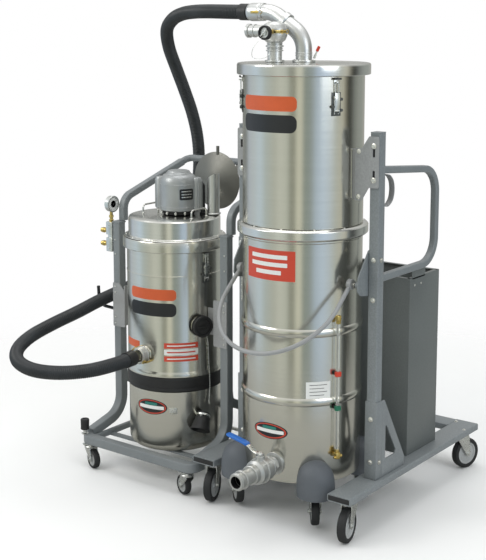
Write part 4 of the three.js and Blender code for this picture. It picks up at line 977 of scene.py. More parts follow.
gauge.build("sight_tube", [M_CLEAR, M_BRASS, M_RED, M_GREEN, M_DARK_AND_HOLE_SHADE], body="lower_tank", slot="clear",
            replaces=["level_gauge"])

# ---------------------------------------------------------------- bail round the drum
BY, BZ, HALF, ARM = -54.0, 902.0, 244.0, 109.0
slope = math.radians(40.7)
KAPPA = 0.5523 * HALF


def on_bail(x, s):
    return (x, BY - s * math.cos(slope), BZ - s * math.sin(slope))


def bezier(p, n):
    out = []
    for i in range(1, n + 1):
        t = i / n
        w = ((1 - t) ** 3, 3 * t * (1 - t) ** 2, 3 * t * t * (1 - t), t ** 3)
        out.append(tuple(sum(w[k] * p[k][j] for k in range(4)) for j in range(2)))
    return out


flat = [(HALF, -13), (HALF, ARM * 0.5), (HALF, ARM)]
flat += bezier([(HALF, ARM), (HALF, ARM + KAPPA), (KAPPA, ARM + HALF), (0, ARM + HALF)], 18)
flat += bezier([(0, ARM + HALF), (-KAPPA, ARM + HALF), (-HALF, ARM + KAPPA), (-HALF, ARM)], 18)
flat += [(-HALF, ARM * 0.5), (-HALF, -13)]
bail = Shape()
bail.sweep(circle(7.8, 20), [on_bail(x, s) for x, s in flat])
for s in (-1, 1):
    bail.ring((s * (HALF - 9), BY, BZ), (s * (HALF + 9), BY, BZ), 18.8, 7.2, seg=36, bevel=1.4)
    for k in (24, 60):
        bail.sweep(circle(8.3, 20), [on_bail(s * HALF, k), on_bail(s * HALF, k + 1.2)], caps=False)
bail.build("bail_bar", M_BAIL, body="bail_lever", slot="zinc", replaces=["bail_lever"])

# ---------------------------------------------------------------- vacuum cart frame
VP_X, VP_Y, VP_TOP = 285.0, -24.0, 1000.0
VB_Y, VB_Z, VB_S = -244.0, 119.0, 38.0
for side, s in (("right", 1), ("left", -1)):
    x = s * VP_X
    tube = Shape()
    path = fillet([(x, VB_Y + 30, VB_Z + 13), (x, VP_Y, VB_Z + 62), (x, VP_Y, VP_TOP - 1)], 95, 14)
    tube.sweep(rounded_rect(VB_S - 0.4, VB_S - 0.4, 4, 4), path, hint=(1, 0, 0))
    leg = fillet([(x, VP_Y, 398), (x, VP_Y + 12, 328), (x, 225, 208), (x, 256, 84)], 30, 8)
    tube.sweep(rounded_rect(33, 33, 4, 4), leg, hint=(1, 0, 0))
    tube.box(x - 20.5, x + 20.5, VP_Y - 20.5, VP_Y + 20.5, VP_TOP - 9, VP_TOP - 2.5, 1.5)
    tube.build(f"vac_side_tube_{side}", M_FRAME, replaces=["vac_frame"] if s > 0 else [], cart=VAC_M)
    edge = [(s * 303.6, 551), (s * 303.6, 738), (s * 268, 738), (s * 238, 704), (s * 238, 552)]
    if s > 0:
        edge = [(s * 303.6, 551), (s * 303.6, 738), (s * 240, 738), (s * 238, 736), (s * 238, 552)]
    side_plate = Shape()
    side_plate.plate(fillet(edge, 4, 3, closed=True), 5.4, M=face_xz(VP_Y - 18.4), bevel=0.8)
    web = (194.2, 284) if s > 0 else (-284, -194.2)
    side_plate.box(web[0], web[1], VP_Y - 3.8, VP_Y + 1.6, 591, 699, 1.0)
    side_plate.box(*sorted((s * 236.5, s * 241.5)), VP_Y - 23, VP_Y + 1, 560, 730, 1.0)
    for z in (722, 696, 592, 566):
        side_plate.bolt((s * 290, VP_Y - 23.6, z), (0, -1, 0), 4.0, 2.8, washer=False, mat=1)
    for z in (640, 920, 860):
        side_plate.bolt((s * 290, VP_Y - 18.6, z), (0, -1, 0), 3.6, 2.6, washer=False, mat=1)
    side_plate.build(f"vac_side_plate_{side}", [M_BAIL, M_BOLT], cart=VAC_M)

bar = Shape()
corners = [(x, VB_Y + back, VB_Z) for x, back in ((-VP_X, 58), (-VP_X, 0), (VP_X, 0), (VP_X, 58))]
path = fillet(corners, 46, 10)
bar.sweep(rounded_rect(VB_S - 0.4, VB_S - 0.4, 4.5, 4), path)
bar.box(-268, 268, 211, 239, 208.5, 237.5, 3)
bar.rod((-284, 256, 100), (284, 256, 100), 7.9, seg=20, mat=1)
for sx in (-1, 1):
    bar.rod((sx * 256, 256, 100), (sx * 279, 256, 100), 12, seg=24)
for y in (-120, 60):
    bar.box(-266, 266, y - 12, y + 12, 104, 113.6, 2)
bar.box(-268, -250, -224, 240, 105, 128, 2)
bar.box(250, 268, -224, 240, 105, 128, 2)
bar.build("vac_front_bar", [M_FRAME, M_ZINC], cart=VAC_M)

hook = Shape()
hx = -VP_X - 19
hook.box(hx - 3.6, hx + 0.6, VP_Y - 14.5, VP_Y + 14.5, 601, 689, 1.2)
line = [(x, VP_Y, z) for x, z in ((hx - 2, 618), (-378, 622), (-408, 650), (-411, 704))]
hook.sweep(circle(6.8, 16), fillet(line, 14, 8), mat=1)
for z in (610, 680):
    hook.bolt((hx - 3.6, VP_Y, z), (-1, 0, 0), 4.6, 3.2, mat=1)
hook.build("hose_hook", [M_ZINC, M_BLACK], cart=VAC_M)

handle = Shape()
rise = math.radians(17.5)
HZ, HY, H_FOOT = 1214.0, 386.0, -4.0
H_LEFT, H_RIGHT = 8.0 - VP_X, 8.0 + VP_X
knee = HZ - (HY - H_FOOT) * math.tan(rise)
for x in (H_LEFT, H_RIGHT):
    path = fillet([(x, H_FOOT, 1000.6), (x, H_FOOT, knee), (x, HY - 12, HZ - 4)], 90, 14)
    handle.sweep(rounded_rect(29.6, 29.6, 5.5, 4), path, hint=(1, 0, 0))
path = fillet([(H_LEFT, HY - 14, HZ - 4.5), (H_LEFT, HY + 40, HZ + 10), (H_RIGHT, HY + 40, HZ + 10),
               (H_RIGHT, HY - 14, HZ - 4.5)], 36, 9)
handle.sweep(circle(14.8, 24), path)
handle.build("vac_push_handle", M_FRAME, replaces=["vac_handle"], cart=VAC_M)

# ---------------------------------------------------------------- vacuum drum
VR = 193.5
tank = Shape()
profile = [(VR - 2.5, 425.5), (VR + 2, 425.2), (VR + 4.8, 427), (VR + 4.9, 432), (VR + 4.2, 440),
           (VR + 0.6, 446), (VR, 449), (VR, 829), (VR + 1.6, 830), (VR + 1.6, 834), (VR, 835), (VR, 927.8),
           (207, 927.8), (208.8, 930), (208.8, 967), (206.6, 970.6), (VR - 2.5, 970.6)]
tank.lathe(profile, 128, closed=True)
tank.rod((0, VR - 0.8, 452), (0, VR - 0.8, 926), 1.6, seg=8)
stub_x, stub_z = 6.0, 515.0
tank.ring((stub_x, -178, stub_z), (stub_x, -214, stub_z), 27, 23.8, seg=36)
tank.ring((stub_x, -190.5, stub_z), (stub_x, -196.5, stub_z), 32, 24, seg=36, bevel=2)
tank.ring((stub_x, -214, stub_z), (stub_x, -240.5, stub_z), 30.5, 24, seg=36, bevel=1.5)
port_at = on_drum(-20.7, 0, 634)
tank.ring((187, 0, 0), (207, 0, 0), 34, 29.4, seg=36, M=port_at)
tank.build("vac_drum", M_DRUM, slot="stainless", replaces=["vac_tank"], cart=VAC_M)

bucket = Shape()
b = 190.4
profile = [(0, 114.3), (b - 30, 114.3), (b - 16, 118), (b - 6, 127), (b - 1, 138), (b, 148), (b, 363.5),
           (b - 2.5, 363.5), (b - 2.5, 150), (b - 32, 117.2), (0, 117)]
bucket.lathe(profile, 128)
bucket.rod((0, b - 0.8, 150), (0, b - 0.8, 362), 1.6, seg=8)
tag = on_drum(-53, b, 291)
bucket.box(-0.4, 1.6, -14, 14, -11, 11, 0.5, M=tag, mat=1)
for k in range(3):
    z = 7 - 7 * k
    line = [(2.6, -22 + 3 * k, z), (3.4, 14, z + 2), (3.4, 18, z - 5), (2.8, -12, z - 8)]
    bucket.sweep(circle(1.1, 8), fillet(line, 2.5), M=tag, mat=1)
bucket.build("vac_bucket_shell", [M_DRUM, M_ZINC], slot="stainless", replaces=["vac_bucket"], cart=VAC_M)

band = Shape()
band.lathe(fillet([(186, 364.8), (194.5, 364.8), (196.8, 372), (195.4, 380), (196.8, 388), (196.8, 418),
                   (194.4, 424.2), (186, 424.2)], 2, 3, closed=True), 112, closed=True)
band.build("bucket_band", M_RUBBER, slot="rubber", replaces=["seal_band"], cart=VAC_M)

vlid = Shape()
vlid.lathe([(0, 1054), (150, 1052.6), (172, 1051.6), (181, 1049.5), (185.4, 1044), (185.9, 1038),
            (185.9, 979), (188, 976.4), (201, 974.6), (203, 972.6), (201, 971.6), (182.5, 971.6),
            (182.5, 1038), (0, 1044)], 112)
for s in (-1, 1):
    for y in (-46, 46):
        vlid.ring((s * 128, y, 1049), (s * 128, y, 1054.5), 8.5, 3.6, seg=20)
    vlid.sweep(circle(3.7, 14), fillet([(s * 128, -46, 1048), (s * 128, -46, 1084), (s * 128, 46, 1084),
                                        (s * 128, 46, 1048)], 14, 7))
for k in range(12):
    a = math.radians(12 + 30 * k)
    vlid.bolt((*polar(195, a), 974.8), (0, 0, 1), 3.6, 3.0, washer=False, mat=1)
vlid.build("vac_top_pan", [M_RIM, M_BOLT], slot="stainless", replaces=["vac_lid"], cart=VAC_M)

# ---------------------------------------------------------------- drive head
HEAD_M = VAC_M @ move(14, 11, 0)
motor = Shape()
z0 = 1056.8
motor.lathe([(0, z0), (64, z0), (65.5, z0 + 2), (65.5, z0 + 14), (60, z0 + 16), (0, z0 + 16)], 64, mat=1)
crown = ((0, 14), (70, 14), (74.6, 18), (75.4, 30), (75.4, 118), (73.6, 134), (68, 148), (60, 157),
         (52, 160), (50, 163.5), (47, 166), (44, 172), (36, 174.6), (0, 175.2))
motor.lathe([(r, z0 + dz) for r, dz in crown], 80)
for s in (-1, 1):
    axis = move(s * 70, 30 * s, 0)
    column = ((0, 17), (17, 17), (21.4, 22), (21.6, 138), (17, 146), (9, 148), (0, 148))
    motor.lathe([(r, z0 + dz) for r, dz in column], 28, M=axis)
    for k in range(7):
        a = math.radians((-60 + 20 * k) + (0 if s > 0 else 180) + 12)
        cx, cy = s * 70 + 21.4 * math.cos(a), 30 * s + 21.4 * math.sin(a)
        motor.rod((cx, cy, z0 + 24), (cx, cy, z0 + 134), 1.7, seg=8)
    motor.lathe([(0, z0 + 20), (23.4, z0 + 20), (23.6, z0 + 116), (0, z0 + 118)], 24,
                M=move(s * 60, 26 * s, 0))
motor.ring((0, 0, z0 + 28), (0, 0, z0 + 32), 76.2, 70, seg=80, bevel=1.4)
motor.ring((0, 0, z0 + 120), (0, 0, z0 + 123), 75.8, 70, seg=80, bevel=1.0)
for k in range(5):
    a = math.radians(-150 + 30 * k)
    motor.bolt((*polar(72, a), z0 + 6), (0, 0, 1), 4.4, 5, washer=True, mat=2)
    motor.rod((*polar(72, a), z0 + 1), (*polar(72, a), z0 + 13), 3, mat=2)
motor.build("drive_head", [M_MOTOR, M_DARK_AND_HOLE_SHADE, M_BOLT], slot="motor", replaces=["vac_motor"], cart=HEAD_M)
NAMEPLATE = -24
decal("head_nameplate", NAMEPLATE, z0 + 84, 46, 44, M_BLACK, 75.4, HEAD_M, layer=4, corner=6, slot="motor")
for k, z in enumerate((z0 + 96, z0 + 84, z0 + 73)):
    decal(f"head_nameplate_bar_{k}", NAMEPLATE, z, 34, 3.6, M_ZINC, 75.4, HEAD_M, layer=7, corner=1,
          slot="motor")

EX_X, EX_Y = 138.0, 80.0
pipe = Shape()
seg_n = 40
verts, faces = [], []
for r in (24.8, 22.4):
    for z_row in (0, 1):
        for k in range(seg_n):
            a = 2 * math.pi * k / seg_n
            px, py = polar(r, a)
            z = 1056.8 if z_row == 0 else min(1221.6, 1212 + (px - 4) * 0.62)
            verts.append((px + EX_X, py + EX_Y, z))
for k in range(seg_n):
    k2 = (k + 1) % seg_n
    faces.append([k, k2, seg_n + k2, seg_n + k])
    faces.append([2 * seg_n + k2, 2 * seg_n + k, 3 * seg_n + k, 3 * seg_n + k2])
    faces.append([seg_n + k, seg_n + k2, 3 * seg_n + k2, 3 * seg_n + k])
    faces.append([k2, k, 2 * seg_n + k, 2 * seg_n + k2])
pipe.add(verts, faces)
pipe.ring((EX_X, EX_Y, 1055), (EX_X, EX_Y, 1062), 29.5, 23, seg=40, bevel=1.5)
# A near-black disc across the pipe's bore: painted shade inside the pipe.
pipe.rod((EX_X, EX_Y, 1066), (EX_X, EX_Y, 1070), 22.8, mat=1)
pipe.build("exhaust_stack", [M_PIPE, M_DARK_AND_HOLE_SHADE], slot="stainless", replaces=["exhaust_pipe"], cart=VAC_M)

feed = Shape()
feed.rod((98, 62, 1054), (98, 62, 1150), 9.5, seg=20)
feed.sweep(circle(9.2, 18), fillet([(98, 62, 1140), (98, 62, 1178), (78, 46, 1178)], 16, 6))
feed.ring((98, 62, 1053), (98, 62, 1062), 14, 8, seg=6)
feed.build("head_feed_pipe", M_BLACK, slot="rubber", cart=VAC_M)

dish = Shape()
dish.lathe([(0, 33.6), (22, 32.6), (40, 29.4), (80, 15.4), (104, 7.2), (117, 2.4), (120.6, 0.8),
            (120.8, -1.6), (117.6, -4.6), (80, 8.6), (40, 22.4), (0, 26.2)],
           96, M=move(0, 274, 1160) @ Matrix.Rotation(math.pi / 2, 4, "X"))
dish.rod((0, 250, 1160), (0, 396, 1170), 12.6, seg=24)
dish.rod((0, 398, 1166), (0, 424, 1206), 10.6, seg=20)
dish.rod((8, 272, 1270), (8, 272, 1306), 6.8, seg=18)
dish.build("rear_dish_cover", M_DISH, slot="stainless", replaces=["rear_dish"], cart=VAC_M)

# ---------------------------------------------------------------- air block, port, cuff
block = Shape()
ax = -VP_X - 19.4
ay = VP_Y - 8
block.box(ax - 34, ax, ay - 15.6, ay + 15.6, 938, 993.4, 2.4, mat=1)
block.box(ax - 34, ax, ay - 15.6, ay + 15.6, 867, 926, 2.4, mat=1)
block.box(ax - 27, ax - 2, ay - 12, ay + 12, 922, 942, 2.0, mat=1)
for z in (994, 1012):
    block.rod((ax - 16, ay, z - 2), (ax - 16, ay, z + 9), 10, seg=6)
block.rod((ax - 16, ay, 990), (ax - 16, ay, 1037), 6.6, seg=18)
block.rod((ax - 25.6, ay, 1068), (ax - 4, ay, 1068), 33, seg=56, mat=1, bevel=2.5)
block.ring((ax - 6, ay, 1068), (ax - 0.6, ay, 1068), 34.6, 29.5, seg=56, mat=1, bevel=1.6)
block.rod((ax - 4.6, ay, 1068), (ax - 3.4, ay, 1068), 30, seg=48, mat=2, bevel=0.2)
for k in range(9):
    a = math.radians(-120 + 30 * k)
    y1, z1 = 24 * math.sin(a), 24 * math.cos(a)
    y2, z2 = 28 * math.sin(a), 28 * math.cos(a)
    block.rod((ax - 3.2, ay + y1, 1068 + z1), (ax - 3.2, ay + y2, 1068 + z2), 0.8, seg=6, mat=3)
block.rod((ax - 2.8, ay - 4, 1060), (ax - 2.8, ay + 16, 1084), 0.9, seg=6, mat=3)
block.rod((ax - 3.4, ay, 1068), (ax - 2.0, ay, 1068), 3.2, seg=16, mat=3)
for z in (898, 954):
    block.rod((ax - 32, ay - 2, z), (ax - 42, ay - 3, z), 11.8, seg=6)
    block.rod((ax - 42, ay - 3, z), (ax - 54, ay - 4.5, z), 9.6, seg=20)
    block.ring((ax - 50, ay - 4, z), (ax - 60, ay - 5, z), 11.4, 6.5, seg=24)
    block.ring((ax - 60, ay - 5, z), (ax - 67.6, ay - 6, z), 9.4, 5.5, seg=24, inner=3)
for z in (880, 980):
    block.bolt((ax - 17, ay - 15.6, z), (0, -1, 0), 3.6, 2.6, washer=False, mat=1)
block.build("air_block_and_gauge", [M_BRASS, M_ZINC, M_WHITE, M_BLACK], slot="brass",
            replaces=["air_block"], cart=VAC_M)

cap = Shape()
cap.ring((208.4, 0, 0), (213, 0, 0), 42.4, 30, seg=48, M=port_at, bevel=1.6)
cap.rod((211, 0, 0), (226, 0, 0), 39.6, seg=48, M=port_at, bevel=1.2)
for k in range(10):
    a = 2 * math.pi * k / 10
    cap.rod((224, *polar(38, a)), (230.4, *polar(38, a)), 4.6, seg=10,
            M=port_at, bevel=1.2)
cap.ring((224, 0, 0), (231.4, 0, 0), 42.6, 33, seg=48, M=port_at, bevel=1.6)
for rr in (30, 21, 12):
    cap.ring((224, 0, 0), (230.2 - (30 - rr) * 0.1, 0, 0), rr, rr - 4.6, seg=40, M=port_at, bevel=1.6)
cap.rod((224, 0, 0), (228.4, 0, 0), 32, seg=40, M=port_at)
cap.sweep(rounded_rect(7, 5, 1.6), [(229.4, -26, 0), (229.4, 26, 0)], M=port_at)
cap.build("port_cap_threaded", M_RUBBER, slot="rubber", replaces=["port_cap"], cart=VAC_M)

a14 = math.radians(-14)


def cuff_at(r, z, side):
    return (r * math.cos(a14) - side * math.sin(a14), r * math.sin(a14) + side * math.cos(a14), z)


c_in, c_out = Vector(cuff_at(VR + 12, 277, -9)), Vector(cuff_at(VR + 34, 214, -46))
d = (c_out - c_in).normalized()
turn = Vector((0, 0, 1)).rotation_difference(d).to_matrix().to_4x4()
CM = Matrix.Translation(c_in) @ turn
length = (c_out - c_in).length
cuff = Shape()
cuff.lathe([(17, 4), (24, 2), (26, 8), (26.5, 20), (30, 24), (30, 34), (33, 44), (37.6, length - 10),
            (39.6, length - 6), (39.6, length - 0.5), (34.6, length), (33, length - 8), (24, 26), (18, 20)],
           48, M=CM, closed=True)
# A near-black disc across the cuff's bore: painted shade inside it.
cuff.lathe([(0, 20), (19, 20), (19, 22), (0, 22)], 32, M=CM, mat=1)
cuff.ring(c_in + d * 9, c_in + d * 17, 27.4, 20, seg=40, mat=2, bevel=0.8)
cuff.rod(c_in + d * 13 + Vector((10, -24, 12)), c_in + d * 13 + Vector((14, -32, 8)), 4.4, seg=14, mat=2)
cuff.build("bucket_cuff", [M_RUBBER, M_DARK_AND_HOLE_SHADE, M_ZINC], slot="rubber", replaces=["rubber_cuff"], cart=VAC_M)


def chain(name, points, pitch, wire, cart=SEP_M):
    """Small oval links, each turned a quarter from the last, along a smooth line."""
    links = Shape()
    stations = resample(catmull(points, 2), pitch)[0]
    for k, (a, b) in enumerate(zip(stations, stations[1:])):
        mid, d = (a + b) / 2, (b - a) / np.linalg.norm(b - a)
        u = np.cross(d, (0.3, 1.0, 0.1)); u /= np.linalg.norm(u)
        w = np.cross(d, u)
        wide = u if k % 2 else w
        loop = [mid + d * (pitch * 0.66 * math.cos(t)) + wide * (pitch * 0.34 * math.sin(t))
                for t in np.linspace(0, 2 * math.pi, 13)]
        links.sweep(circle(wire, 6), loop, caps=False)
    links.build(name, M_ZINC, slot="zinc", cart=cart)


chain("port_lanyard_chain", [(196.5, -40, 592), (196.2, -32, 560), (195.8, -26, 480), (198.4, -24, 420),
                             (199.0, -24, 380), (199.0, -28, 330), (203, -34, 306)], 5.6, 0.8, cart=VAC_M)
chain("drum_side_chain", [(-268, -20, 1004), (-264, -24, 960), (-262, -24, 880), (-264, -22, 800),
                          (-266, -18, 762)], 9.0, 1.5)

# ---------------------------------------------------------------- wheels and bumper of the vacuum cart
for side, s in (("left", -1), ("right", 1)):
    wr, ww = 100.0, 36.0
    hw = ww / 2
    profile = [(9.2, -hw * 0.62), (26, -hw * 0.66), (28, -hw * 0.4), (66, -hw * 0.4), (70, -hw * 0.72),
               (76, -hw * 0.76), (78, -hw * 0.9), (92, -hw * 0.98), (98.4, -hw * 0.7),
               (99.8, -hw * 0.3), (100, 0)]
    profile += [(a, -b) for a, b in profile[-2::-1]]
    n = len(profile)
    wheel = Shape()
    axle = move(s * 236.0, 256, 100) @ Matrix.Rotation(math.pi / 2, 4, "Y")
    wheel.lathe(profile, 64, M=axle, closed=True, mats=[1 if i < 5 or i >= n - 6 else 0 for i in range(n)])
    for k in range(6):
        a = 2 * math.pi * k / 6
        for z in (-1, 1):
            wheel.rod((*polar(47, a), z * hw * 0.3), (*polar(47, a), z * hw * 0.55),
                      7, seg=12, M=axle, mat=1)
    wheel.build(f"vac_rear_wheel_{side}_tread", [M_TYRE, M_HUB], body=f"vac_rear_wheel_{side}", slot="tyre",
                replaces=[f"vac_rear_wheel_{side}"], cart=VAC_M)

bump = Shape()
bump.lathe([(0, 157), (15.6, 157), (17.8, 159), (17.4, 172), (17.8, 186), (17.8, 198), (15.6, 201.6),
            (12, 201.6), (11, 199.6), (0, 199.6)], 40, M=move(-282, -249, 0))
bump.rod((-282, -249, 138.8), (-282, -249, 160), 7.6, seg=20, mat=1)
bump.lathe([(0, 138.6), (15, 138.6), (15, 141), (11, 143.6), (0, 143.6)], 32, mat=1,
           M=move(-282, -249, 0))
bump.build("bumper_post", [M_RUBBER, M_ZINC], slot="rubber", replaces=["corner_bumper"], cart=VAC_M)

# ---------------------------------------------------------------- inlet end of the hose
fitting = Shape()
fitting.ring((stub_x, -204, stub_z), (stub_x, -236, stub_z), 33.5, 24.5, seg=40, mat=1, bevel=2)
fitting.ring((stub_x, -209, stub_z), (stub_x, -213, stub_z), 36, 30, seg=40, mat=1, bevel=1)
fitting.build("tank_inlet_coupler", [M_BRASS, M_CAST], slot="stainless", cart=VAC_M)
cam_levers("tank_inlet_cam_arms", (stub_x, -232, stub_z), (0, 1, 0), 34, side=(0.80, 0, -0.6), cart=VAC_M)
sleeve = Shape()
for i0, i1 in ((0, 24), (-30, -1)):
    part = hose_line[i0:i1]
    sleeve.sweep(circle(HOSE_D / 2 + 2.4, 32), part, scale=[0.96] + [1.0] * (len(part) - 2) + [0.96])
sleeve.build("hose_end_cuffs", M_RUBBER, slot="rubber")

# ---------------------------------------------------------------- labels
def badge_pair(prefix, deg, r, cart, rows):
    """A rounded orange bar over a charcoal one, without lettering."""
    for (name, mat), (z, height, corner) in zip((("orange", M_ORANGE), ("charcoal", M_BLACK)), rows):
        wide = 63 if cart is SEP_M else 64
        decal(f"{prefix}_{name}", deg, z, wide, height, mat, r, cart, layer=2, corner=corner)


def oval_badge(prefix, deg, z, r, cart, body, sizes, band, spot):
    """Three stacked ovals with a white band and a green spot."""
    for k, (name, mat, dz) in enumerate((("", M_BLACK, 0), ("_red", M_REDPRINT, 0), ("_face", M_BLACK, 0.5))):
        decal(prefix + name, deg, z + dz, *sizes[k], mat, r, cart, layer=2 + 2 * k, kind="oval", body=body)
    decal(f"{prefix}_band", deg, *band, M_WHITE, r, cart, layer=8, corner=3, body=body)
    decal(f"{prefix}_green", deg, *spot, M_TEAL, r, cart, layer=10, corner=4, body=body)


badge_pair("badge", -93, R, SEP_M, ((1540, 52, 18), (1470, 62, 24)))
decal("red_plate", -89.5, 969.5, 55, 109, M_REDPRINT, R, SEP_M, layer=2, corner=3, body="lower_tank")
for k, (z, w) in enumerate(((1000, 40), (972, 40), (944, 28))):
    decal(f"red_plate_bar_{k}", -89.5, z, w, 15, M_WHITE, R, SEP_M, layer=4, corner=2, body="lower_tank")
decal("rating_plate", -39.7, 521, 23.5, 61, M_WHITE, R, SEP_M, layer=2, corner=2, body="lower_tank")
for k in range(4):
    decal(f"rating_plate_line_{k}", -39.7 - (1.4 if k % 2 else 0), 540 - 12.5 * k, 17 - 3 * (k % 2), 1.8,
          M_BLACK, R, SEP_M, layer=4, corner=0.5, body="lower_tank")
oval_badge("oval_badge", -87, 359.5, R, SEP_M, "lower_tank", ((37.4, 59), (34.6, 53), (31.6, 45)),
           (359, 30, 13), (372, 15, 10))
badge_pair("vac_badge", -80, VR, VAC_M, ((760, 44, 16), (700, 54, 21)))
decal("vac_small_orange", -112.5, 547, 31, 30, M_ORANGE, VR, VAC_M, layer=2, corner=2)
for k, (z, mat, bar) in enumerate(((556, M_REDPRINT, M_WHITE), (529.5, M_WHITE, M_REDPRINT),
                                   (503, M_REDPRINT, M_WHITE))):
    decal(f"vac_warning_{k}", -42.5, z, 41, 22, mat, VR, VAC_M, layer=2, corner=1.5)
    decal(f"vac_warning_bar_{k}", -42.5, z, 34, 5, bar, VR, VAC_M, layer=4, corner=1)
oval_badge("vac_oval_badge", -81, 300, 190.4, VAC_M, "frame", ((42, 62), (39, 56), (36, 48)), (299, 34, 14),
           (313, 17, 11))

# ---------------------------------------------------------------- parts kept from the frame
for node, mat, slot in (("filter_cartridge", M_CLOTH, "filter"), ("immersion_tube", M_DRUM, "stainless")):
    nodes[node].data.materials.clear()
    nodes[node].data.materials.append(mat)

# ---------------------------------------------------------------- studio
WORLD_LIGHT, FLOOR_COLOR, FLOOR_MIRRORED = 0.9, (0.97, 0.97, 0.97, 1.0), (0.42, 0.42, 0.40, 1.0)
FLOOR_R, FLOOR_SIDES, FLOOR_Z, FLOOR_FADE = 3.2, 96, -0.0005, (1.3, 3.0)
# Bands of the studio's walls round the compass, that the steel mirrors.
STOPS = [(0.0, (0.60, 0.67, 0.77)), (0.046, (0.66, 0.74, 0.80)), (0.10, (0.70, 0.84, 0.97)),
         (0.14, (0.58, 0.66, 0.66)), (0.19, (0.60, 0.63, 0.57)), (0.225, (0.74, 0.77, 0.70)),
         (0.262, (0.67, 0.71, 0.64)), (0.282, (0.34, 0.36, 0.30)), (0.300, (0.36, 0.37, 0.31)),
         (0.318, (0.86, 0.87, 0.73)), (0.336, (0.80, 0.80, 0.68)), (0.352, (0.31, 0.37, 0.34)),
         (0.387, (0.38, 0.44, 0.44)), (0.412, (0.56, 0.68, 0.82)), (0.452, (0.66, 0.80, 0.98)),
         (0.487, (0.64, 0.74, 0.84)), (0.525, (0.60, 0.64, 0.60)), (0.565, (0.68, 0.67, 0.57)),
         (0.582, (0.30, 0.29, 0.24)), (0.602, (0.05, 0.052, 0.043)), (0.622, (0.07, 0.075, 0.07)),
         (0.650, (0.26, 0.28, 0.27)), (0.69, (0.38, 0.41, 0.39)), (0.735, (0.40, 0.43, 0.41)),
         (0.80, (0.50, 0.50, 0.47)), (0.88, (0.42, 0.43, 0.42)), (0.94, (0.26, 0.28, 0.27)),
         (0.972, (0.34, 0.37, 0.38)), (1.0, (0.58, 0.65, 0.75))]
scene = bpy.context.scene
scene.view_settings.view_transform, scene.view_settings.look = "Standard", "None"
scene.world = bpy.data.worlds.new("studio")
scene.world.use_nodes = True
nt = scene.world.node_tree
nt.nodes.clear()
out = make_node(nt, "ShaderNodeOutputWorld")
show = make_node(nt, "ShaderNodeBackground", {"Color": (1.0, 1.0, 1.0, 1.0), "Strength": 1.0})
light = make_node(nt, "ShaderNodeBackground", {"Strength": WORLD_LIGHT})
seen_or_lit = make_node(nt, "ShaderNodeMixShader")
sep = make_node(nt, "ShaderNodeSeparateXYZ")
azimuth = make_node(nt, "ShaderNodeMath", operation="ARCTAN2")
turns = make_node(nt, "ShaderNodeMapRange", {"From Min": -math.pi, "From Max": math.pi})
bands = make_node(nt, "ShaderNodeValToRGB")
set_stops(bands, STOPS)
height = make_node(nt, "ShaderNodeMapRange", span_values(0.0, 1.0, 0.1, 0.8))
top_mix = make_node(nt, "ShaderNodeMix", {7: (0.95, 0.96, 0.95, 1.0)}, data_type="RGBA")
for a, b in ((make_node(nt, "ShaderNodeLightPath").outputs["Is Camera Ray"], seen_or_lit.inputs[0]),
             (light.outputs[0], seen_or_lit.inputs[1]), (show.outputs[0], seen_or_lit.inputs[2]),
             (seen_or_lit.outputs[0], out.inputs["Surface"]),
             (make_node(nt, "ShaderNodeTexCoord").outputs["Generated"], sep.inputs[0]),
             (sep.outputs["Y"], azimuth.inputs[0]), (sep.outputs["X"], azimuth.inputs[1]),
             (azimuth.outputs[0], turns.inputs["Value"]), (turns.outputs["Result"], bands.inputs["Fac"]),
             (sep.outputs["Z"], height.inputs["Value"]), (height.outputs["Result"], top_mix.inputs[0]),
             (bands.outputs["Color"], top_mix.inputs[6]), (top_mix.outputs[2], light.inputs["Color"])):
    nt.links.new(a, b)

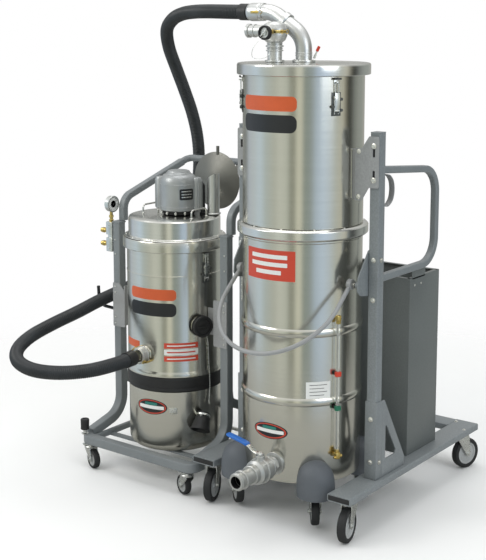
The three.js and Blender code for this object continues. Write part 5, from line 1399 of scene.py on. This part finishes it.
# name, place, target, width, height, power, colour
for name, pos, target, wide, high, power, color in (
        ("key", (-2.4, -3.4, 3.6), (0, 0, 0.8), 2.2, 1.6, 60, (1.0, 0.98, 0.95)),
        ("fill", (3.8, -0.8, 2.6), (0.2, 0, 0.9), 1.8, 2.4, 26, (0.94, 0.97, 1.0)),
        ("overhead", (0.0, 0.0, 4.6), (0, 0, 0), 3.0, 3.0, 45, (1, 1, 1))):
    lamp = bpy.data.lights.new(name, "AREA")
    lamp.shape, lamp.size, lamp.size_y, lamp.energy, lamp.color = "RECTANGLE", wide, high, power, color
    lamp_obj = bpy.data.objects.new(name, lamp)
    lamp_obj.location = pos
    lamp_obj.rotation_euler = (Vector(target) - Vector(pos)).to_track_quat("-Z", "Y").to_euler()
    scene.collection.objects.link(lamp_obj)

floor_mesh = bpy.data.meshes.new("floor")
rim = [(*polar(FLOOR_R, 2 * math.pi * k / FLOOR_SIDES), FLOOR_Z) for k in range(FLOOR_SIDES)]
floor_mesh.from_pydata([(0, 0, FLOOR_Z)] + rim, [],
                       [(0, 1 + k, 1 + (k + 1) % FLOOR_SIDES) for k in range(FLOOR_SIDES)])
floor_obj = bpy.data.objects.new("studio_floor", floor_mesh)
scene.collection.objects.link(floor_obj)
floor_mat = bpy.data.materials.new("floor_white")
floor_mat.use_nodes = True
ft = floor_mat.node_tree
bsdf = ft.nodes["Principled BSDF"]
bsdf.inputs["Roughness"].default_value = 0.6
bsdf.inputs["Specular IOR Level"].default_value = 0.2
floor_mesh.materials.append(floor_mat)
dist = make_node(ft, "ShaderNodeVectorMath", operation="LENGTH")
fade = make_node(ft, "ShaderNodeMapRange", span_values(1.0, 0.0, *FLOOR_FADE),
                 interpolation_type="SMOOTHSTEP")
tone = make_node(ft, "ShaderNodeMix", {6: FLOOR_COLOR, 7: FLOOR_MIRRORED}, data_type="RGBA")
for a, b in ((make_node(ft, "ShaderNodeTexCoord").outputs["Object"], dist.inputs[0]),
             (dist.outputs["Value"], fade.inputs["Value"]), (fade.outputs["Result"], bsdf.inputs["Alpha"]),
             (make_node(ft, "ShaderNodeLightPath").outputs["Is Glossy Ray"], tone.inputs[0]),
             (tone.outputs[2], bsdf.inputs["Base Color"])):
    ft.links.new(a, b)

bpy.context.view_layer.update()
